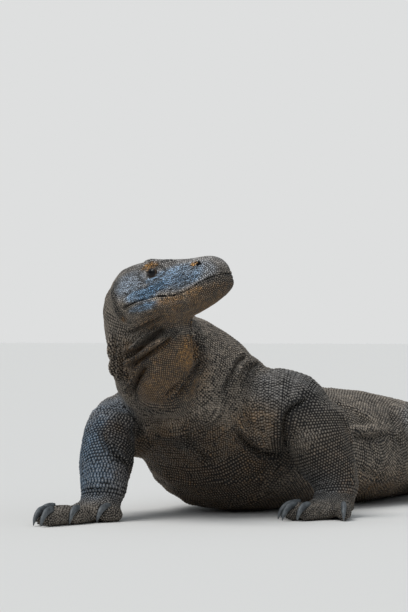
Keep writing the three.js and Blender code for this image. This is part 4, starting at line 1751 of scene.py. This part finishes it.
    def _relaxed(self, places: Array, gaps: Array) -> tuple[Array, Array, Array]:
        """Evens out granules between each other and the rows.

        Args:
            places: Where they are.
            gaps: The distance wanted between them, in metres.

        Returns:
            Their new places, the skin's normals there, and the mean distance to their neighbours.
        """
        fixed = self._planted()
        normals = np.zeros_like(places)
        near = gaps.copy()
        for _ in range(self.rounds):
            everything = np.vstack([places, fixed])
            tree = KDTree(len(everything))
            for i, point in enumerate(everything):
                tree.insert(point, i)
            tree.balance()
            wanted = self.neighbours + 1
            found = [[hit[1] for hit in tree.find_n(point, wanted)[1:]] for point in places]
            arms = places[:, None, :] - everything[np.array(found)]
            lengths = np.linalg.norm(arms, axis=2)
            push = np.clip(self.spread * gaps[:, None] - lengths, 0, None) * self.push
            near = np.sort(lengths, axis=1)[:, : self.nearest].mean(axis=1)
            away = arms / np.maximum(lengths, 1e-7)[..., None]
            places = places + (away * push[..., None]).sum(axis=1)
            for i in range(len(places)):
                hit, normal, _, _ = self.skin.surface.find_nearest(Vector(places[i]))
                places[i], normals[i] = hit, normal
        return places, normals, near

    @staticmethod
    def _head_grade(spots: Array) -> Array:
        """The head's granules are larger over crown and snout and smaller round the eyes."""
        back, out, above = HEAD.inside(spots).T
        crown = ramp(above, 24, 44)
        eye = bell(np.hypot(back - HEAD.eye_back, above - HEAD.eye_up), 12) * (np.abs(out) > 15)
        return 1 + 0.22 * crown - 0.42 * eye + 0.15 * ramp(back, 40, 10)

    @staticmethod
    def _piece_of(node: str, place: Array) -> str:
        """The coat piece that covers a place.

        Args:
            node: The flesh node there.
            place: The place, in metres.

        Returns:
            The piece's name.
        """
        if node in FACE:
            return face_piece(HEAD.inside(place[None])[0, 1])
        if node.startswith("throat"):
            return "coat_throat"
        if node.endswith("foot"):
            return "coat_feet_" + node.split("_")[0]
        if node.startswith(("front", "hind")):
            return "coat_" + "_".join(node.split("_")[:2])
        return "coat_" + node.split("_")[0]

    @staticmethod
    def _chart(spot: Array, node: str) -> tuple[float, float]:
        """The root's place on a rolled-out skin of its node: along it, and round it."""
        low, high = BOXES[node]
        length = np.argmax(high - low)
        middle = (low + high) / 2
        others = [i for i in range(3) if i != length]
        turn = math.atan2(spot[others[1]] - middle[others[1]], spot[others[0]] - middle[others[0]])
        along = (spot[length] - low[length]) / (high[length] - low[length])
        return (float(np.clip(along, 0, 1)), 0.5 + turn / (2 * math.pi))

    def build(self, markings: Markings, finish: HideFinish) -> None:
        """Turns the roots into meshes of scales, one for each piece of coat.

        Args:
            markings: The colours of the animal, with painted light and shade in their lightness.
            finish: The scales' finish.
        """
        material = finish.dress()
        grower = ScaleGrower(material)
        pieces: dict[str, list[Piece]] = {}
        for (name, form), roots in self.rows.items():
            if roots:
                part = grower.grow(name + "_" + form.name.lower(), form, roots, markings)
                pieces.setdefault(name, []).append(part)
        grower.clear()
        total = 0
        for name, parts in pieces.items():
            piece = self._joined(name, parts)
            dress_only(piece.data, material)
            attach(piece, "root")
            count = triangles_in(piece.data)
            total += count
            LOG.info("%s: %d triangles", name, count)
        LOG.info("coat: %d triangles", total)

    @staticmethod
    def _joined(name: str, parts: list[Piece]) -> Piece:
        """Joins meshes of scales into one piece."""
        first = parts[0]
        if len(parts) > 1:
            with bpy.context.temp_override(active_object=first, selected_editable_objects=parts):
                bpy.ops.object.join()
        first.name = name
        first.data.name = name
        return first


@dataclass
class ScaleGrower:
    """Grows one solid scale on every root with Geometry Nodes."""

    material: Material
    patch: float = 0.0015
    speckle: tuple[float, float] = (0.38, 0.18)
    speck_range: tuple[float, float] = (0.35, 1.75)
    helpers: tuple[str, ...] = ("root_uv", "local", "lift", "outward", "rowward", "size")

    def __post_init__(self) -> None:
        """Builds the node tree and the forms."""
        self.tree = self._tree()
        self.forms = {form: self._form(form) for form in Form}

    @staticmethod
    def _form(form: Form) -> Piece:
        """One scale of unit half size: its foot is sunk in the skin, its crown is rounded.

        Args:
            form: The scale's outline.

        Returns:
            An object for the instances, with its lift and local attributes.
        """
        sides, crown, lean = form.value
        corners, faces, rise, local = [], [], [], []
        for radius, height, level in ((1.0, -0.35, 0.0), (crown, 0.6, 0.5)):
            for i in range(sides):
                angle = 2 * math.pi * (i + 0.5) / sides
                x, y = radius * math.cos(angle), radius * math.sin(angle)
                corners.append((x, y + (lean if level else 0), height))
                local.append((x, y, 0))
                rise.append(level)
        corners.append((0, lean, 1.0))
        local.append((0, 0, 0))
        rise.append(1.0)
        top = 2 * sides
        for i in range(sides):
            j = (i + 1) % sides
            faces += [(i, j, sides + j), (i, sides + j, sides + i), (sides + i, sides + j, top)]
        faces.append(tuple(range(sides - 1, -1, -1)))
        mesh = bpy.data.meshes.new("scale_form")
        mesh.from_pydata(corners, [], faces)
        smooth(mesh)
        store(mesh, "lift", np.array(rise))
        store(mesh, "local", np.array(local, dtype=float))
        return made("form_" + form.name.lower(), mesh)

    def _tree(self) -> Tree:
        """The tree: an instance on each root, turned to its normal and row, then made real."""
        tree = bpy.data.node_groups.new("grow_scales", "GeometryNodeTree")
        for name, kind, default in (
            ("Geometry", "Geometry", None),
            ("Form", "Object", None),
            ("Fullness", "Float", 1.0),
            ("Unevenness", "Float", 0.1),
            ("Seed", "Int", 9),
            ("Finish", "Material", None),
        ):
            kind = "NodeSocket" + kind
            socket = tree.interface.new_socket(name, in_out="INPUT", socket_type=kind)
            if default is not None:
                socket.default_value = default
        tree.interface.new_socket("Geometry", in_out="OUTPUT", socket_type="NodeSocketGeometry")
        node = partial(add_node, tree)
        vector = {"data_type": "FLOAT_VECTOR"}

        def attribute(name: str) -> Socket:
            """A named vector of the roots."""
            return node("GeometryNodeInputNamedAttribute", vector, {"Name": name}).outputs[0]

        def sum_of(operation: str) -> Socket:
            """The fullness with the unevenness added or taken away."""
            inputs = {0: given["Fullness"], 1: given["Unevenness"]}
            return node("ShaderNodeMath", {"operation": operation}, inputs).outputs[0]

        given = node("NodeGroupInput", None, None).outputs
        form = node("GeometryNodeObjectInfo", None, {"Object": given["Form"]})
        axes = {"primary_axis": "Z", "secondary_axis": "X"}
        ways = {0: attribute("outward"), 1: attribute("rowward")}
        turned = node("FunctionNodeAxesToRotation", axes, ways)
        span = {"Min": sum_of("SUBTRACT"), "Max": sum_of("ADD"), "Seed": given["Seed"]}
        full = node("FunctionNodeRandomValue", {"data_type": "FLOAT"}, span).outputs[1]
        grown = {0: attribute("size"), "Scale": full}
        size = node("ShaderNodeVectorMath", {"operation": "SCALE"}, grown)
        placing = {
            "Points": given["Geometry"],
            "Instance": form.outputs["Geometry"],
            "Rotation": turned.outputs[0],
            "Scale": size.outputs[0],
        }
        placed = node("GeometryNodeInstanceOnPoints", None, placing)
        real = node("GeometryNodeRealizeInstances", None, {"Geometry": placed.outputs[0]})
        dressing = {"Geometry": real.outputs[0], "Material": given["Finish"]}
        dressed = node("GeometryNodeSetMaterial", None, dressing)
        node("NodeGroupOutput", None, {0: dressed.outputs[0]})
        return tree

    def _input(self, name: str) -> str:
        """The identifier of a named input of the tree."""
        items = self.tree.interface.items_tree
        return next(i.identifier for i in items if i.name == name and i.in_out == "INPUT")

    def grow(self, name: str, form: Form, roots: list[Root], markings: Markings) -> Piece:
        """Grows the scales of one form.

        Args:
            name: The new object's name.
            form: The scales' form.
            roots: Where they grow.
            markings: The colours of the coat, with painted light and shade in their lightness.

        Returns:
            A plain mesh object of all the scales, with their markings and the OFBake map.
        """
        places = np.array([root.place for root in roots])
        mesh = bpy.data.meshes.new(name)
        mesh.from_pydata(places.tolist(), [], [])
        tint, tone = markings.at(places)
        source = np.random.default_rng(len(places))
        spread = np.where(HEAD.inside(places)[:, 0] < HEAD_END, *self.speckle)
        speck = (1 + spread * source.normal(0, 1, len(places))).clip(*self.speck_range)
        store(mesh, "outward", unit(np.array([root.normal for root in roots])))
        store(mesh, "rowward", unit(np.array([root.tangent for root in roots])))
        store(mesh, "size", np.array([root.size for root in roots]))
        store(mesh, "tint", tint)
        # Tone carries the markings' painted light and shade.
        store(mesh, "wear", np.stack([tone, speck, np.zeros(len(places))], axis=1))
        store(mesh, "root_uv", np.array([(*root.chart, 0.0) for root in roots]))
        piece = made(name, mesh)
        modifier = piece.modifiers.new("scales", "NODES")
        modifier.node_group = self.tree
        modifier[self._input("Form")] = self.forms[form]
        modifier[self._input("Finish")] = self.material
        modifier[self._input("Seed")] = len(places) % 97
        piece = settled(piece, name)
        self._unwrap(piece.data)
        return piece

    def _unwrap(self, mesh: Mesh) -> None:
        """Writes OFBake: each scale's patch at its root's place, its hidden foot in the middle.

        Args:
            mesh: Scales made real, with the attributes of their forms and roots.
        """
        layers = mesh.attributes
        root = read(layers["root_uv"].data, "vector", 3)[:, :2]
        local = read(layers["local"].data, "vector", 3)[:, :2]
        wear = read(layers["wear"].data, "vector", 3)
        wear[:, 2] = read(layers["lift"].data, "value", 1)
        layers["wear"].data.foreach_set("vector", wear.ravel())
        corner = read(mesh.loops, "vertex_index", 1, np.int32)
        sides = read(mesh.polygons, "loop_total", 1, np.int32)
        seen = np.repeat(sides == 3, sides)[:, None]
        place = 0.01 + 0.98 * root[corner] + local[corner] * self.patch * seen
        layer = mesh.uv_layers.new(name="OFBake")
        layer.data.foreach_set("uv", place.astype(np.float32).ravel())
        for name in self.helpers:
            if name in layers:
                layers.remove(layers[name])

    def clear(self) -> None:
        """Removes the forms once every scale is real."""
        for form in self.forms.values():
            bpy.data.objects.remove(form)


# ---- eyes and claws
@dataclass
class Eye:
    """An eyeball with a raised front; sizes in millimetres."""

    node: str
    rings: int = 24
    sides: int = 32
    forward: float = 2.0
    cornea: float = 0.9
    cornea_width: float = 5.2
    behind: float = 20.0

    def build(self, finish: EyeFinish) -> None:
        """Builds the eye about the axis that points out of the head.

        Args:
            finish: The eye's finish, which reads the iris attribute.
        """
        low, high = BOXES[self.node]
        side = 1 if self.node.endswith("right") else -1
        centre = (low + high) / 2 + HEAD.axes[1] * side * self.forward * MM
        radius = float(np.mean(high - low)) / 2
        out = unit(HEAD.axes[1] * side * 1.0 - HEAD.axes[0] * 0.22 + HEAD.axes[2] * 0.12)
        first = unit(np.cross(out, UP))
        second = np.cross(out, first)
        corners, iris = [], []
        for i in range(self.rings + 1):
            polar = math.pi * i / self.rings
            off = radius / MM * math.sin(polar)
            front = polar < math.pi / 2
            lift = self.cornea * math.exp(-((off / self.cornea_width) ** 2)) if front else 0.0
            for j in range(self.sides):
                turn = 2 * math.pi * j / self.sides
                ring = math.sin(polar) * (math.cos(turn) * first + math.sin(turn) * second)
                corners.append(centre + (math.cos(polar) * out + ring) * (radius + lift * MM))
                iris.append((off if front else self.behind, turn / (2 * math.pi) * 12, 0.0))
        faces = tube_faces(self.rings, self.sides)
        name = self.node + "_ball"
        piece = closed_piece(name, corners, faces, ("iris", iris), finish.dress())
        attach(piece, "root")
        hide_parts(self.node)
        LOG.info("%s: radius %.1f mm", self.node, radius / MM)


@dataclass
class Claw:
    """A curved horn from the top of a toe down to the floor; its radius is in millimetres."""

    node: str
    radius: float = 5.4
    sweep: float = 1.3
    steps: int = 12
    sides: int = 12
    start: float = -0.12
    hind_scale: float = 0.96
    flatness: float = 0.76
    under: float = 0.86
    taper: tuple[tuple[float, ...], tuple[float, ...]] = (
        (-0.12, 0.0, 0.3, 0.58, 0.82, 1.0),
        (0.9, 0.98, 1.0, 0.82, 0.52, 0.08),
    )

    def __post_init__(self) -> None:
        """Finds the claw's root and tip from its solid."""
        corners = np.unique(np.round(corners_of(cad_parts[self.node].data), 5), axis=0)
        tip = corners[np.argsort(corners[:, 2])[:5]].mean(axis=0)
        far = np.linalg.norm((corners - tip)[:, :2], axis=1)
        self.root = corners[np.argsort(far)[-5:]].mean(axis=0)
        self.tip = tip
        flat = (tip - self.root) * [1, 1, 0]
        self.reach = float(np.linalg.norm(flat))
        self.forward = unit(flat)

    def _ring(self, share: float) -> tuple[Array, Array, float]:
        """One ring of the horn.

        Args:
            share: How far along the horn it lies, from 0 to 1.

        Returns:
            Its centre, its direction and its thickness.
        """
        turn = share * self.sweep
        drop = self.root[2] - self.tip[2]
        spread = 1 - math.cos(self.sweep)
        at = self.root + self.forward * self.reach * math.sin(turn) / math.sin(self.sweep)
        at = at - np.array([0, 0, drop * (1 - math.cos(turn)) / spread])
        slope = self.forward * self.reach * math.cos(turn) / math.sin(self.sweep)
        slope = unit(slope - np.array([0, 0, drop * math.sin(turn) / spread]))
        return at, slope, float(np.interp(share, *self.taper))

    def build(self, material: Material) -> None:
        """Lofts the horn with a blunt, worn point.

        Args:
            material: The claws' finish, which reads the horn attribute.
        """
        across = np.cross(self.forward, UP)
        scale = self.hind_scale if "hind" in self.node else 1.0
        corners, marks = [], []
        for share in np.linspace(self.start, 1, self.steps + 1):
            at, slope, thick = self._ring(float(share))
            up = np.cross(across, slope)
            half = self.radius * scale * thick * MM
            for j in range(self.sides):
                angle = 2 * math.pi * j / self.sides
                under = self.under if math.sin(angle) < 0 else 1.0
                wide, high = self.flatness * math.cos(angle), under * math.sin(angle)
                corners.append(at + half * (wide * across + high * up))
                round_it = j / self.sides if j <= self.sides / 2 else 1 - j / self.sides
                marks.append((float(share), round_it, 0.0))
        faces = [(a, d, c, b) for a, b, c, d in tube_faces(self.steps, self.sides)]
        last = self.steps * self.sides
        faces.append(tuple(range(self.sides - 1, -1, -1)))
        faces.append(tuple(range(last, last + self.sides)))
        piece = closed_piece(self.node + "_horn", corners, faces, ("horn", marks), material)
        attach(piece, "root")
        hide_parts(self.node)


# ---- the studio
@dataclass
class Studio:
    """Floor, soft light and camera; each lamp has a name, a direction, a power and a spread."""

    eye: Triple = (4.2972, 2.0613, 0.266)
    heading: Triple = (-0.8660254, -0.5, 0.0)
    tilt: float = math.atan2(24, 2857)
    lens: float = 168.06
    sensor: float = 24.0
    floor_half: float = 45.0
    lamps: tuple[tuple[str, Triple, float, float], ...] = (
        ("key", (0.42, -0.22, 1.0), 1.65, math.radians(38)),
        ("front", (0.9, 0.5, 0.55), 0.3, math.radians(80)),
    )
    light: tuple[float, ...] = (0.86, 0.93, 1.0, 1)
    backdrop: int = 0xDEDFDF

    def build(self) -> None:
        """Sets up everything round the animal."""
        self._camera()
        self._floor()
        self._world()
        for lamp in self.lamps:
            self._sun(*lamp)
        bpy.context.scene.view_settings.view_transform = "Standard"

    def _camera(self) -> None:
        """A long lens low in front of the animal's left shoulder."""
        data = bpy.data.cameras.new("camera")
        data.sensor_fit = "HORIZONTAL"
        data.sensor_width = self.sensor
        data.lens = self.lens
        data.clip_end = 60
        camera = made("camera", data)
        camera.location = self.eye
        look = Vector(self.heading) + Vector((0, 0, math.tan(self.tilt)))
        camera.rotation_euler = look.to_track_quat("-Z", "Y").to_euler()
        bpy.context.scene.camera = camera

    def _floor(self) -> None:
        """A wide pale floor."""
        half = self.floor_half
        corners = [(-half, -half, 0), (half, -half, 0), (half, half, 0), (-half, half, 0)]
        mesh = bpy.data.meshes.new("floor")
        mesh.from_pydata(corners, [], [(0, 1, 2, 3)])
        mesh.materials.append(FloorFinish().dress())
        floor = made("floor", mesh)

    def _world(self) -> None:
        """Soft light from all round, brighter from above, and a pale backdrop for the camera."""
        world = bpy.data.worlds.new("studio")
        world.use_nodes = True
        tree = world.node_tree
        tree.nodes.clear()
        node = partial(add_node, tree)
        place = node("ShaderNodeTexCoord", None, None).outputs["Generated"]
        up = node("ShaderNodeSeparateXYZ", None, {0: place}).outputs[2]
        span = {"Value": up, "From Min": -0.3, "From Max": 1.0, "To Min": 0.08, "To Max": 0.6}
        strength = node("ShaderNodeMapRange", None, span).outputs["Result"]
        light = node("ShaderNodeBackground", None, {"Color": self.light, "Strength": strength})
        pale = {"Color": srgb(self.backdrop), "Strength": 1.0}
        backdrop = node("ShaderNodeBackground", None, pale)
        seen = node("ShaderNodeLightPath", None, None).outputs["Is Camera Ray"]
        both = {0: seen, 1: light.outputs[0], 2: backdrop.outputs[0]}
        blend = node("ShaderNodeMixShader", None, both)
        node("ShaderNodeOutputWorld", None, {0: blend.outputs[0]})
        bpy.context.scene.world = world

    @staticmethod
    def _sun(name: str, toward: Triple, power: float, spread: float) -> None:
        """One broad, soft light from a direction."""
        data = bpy.data.lights.new(name, "SUN")
        data.energy = power
        data.angle = spread
        made(name, data).rotation_euler = Vector(toward).to_track_quat("Z", "Y").to_euler()


# ---- the whole
def main() -> None:
    """Builds the animal and the studio, piece by piece."""
    logging.basicConfig(level=logging.INFO, format="%(name)s: %(message)s", stream=sys.stdout)
    Studio().build()
    markings = Markings()
    skin = Skin()
    skin.build()
    coat = Coat(skin)
    coat.grow()
    coat.build(markings, HideFinish("scales"))
    skin.finish(markings, HideFinish("skin"))
    for node in ("eye_left", "eye_right"):
        Eye(node).build(EyeFinish(node + "_wet"))
    horn = HornFinish("claw_horn").dress()
    for node in CLAWS:
        Claw(node).build(horn)
    LOG.info("claws: %d", len(CLAWS))


if __name__ == "__main__":
    main()
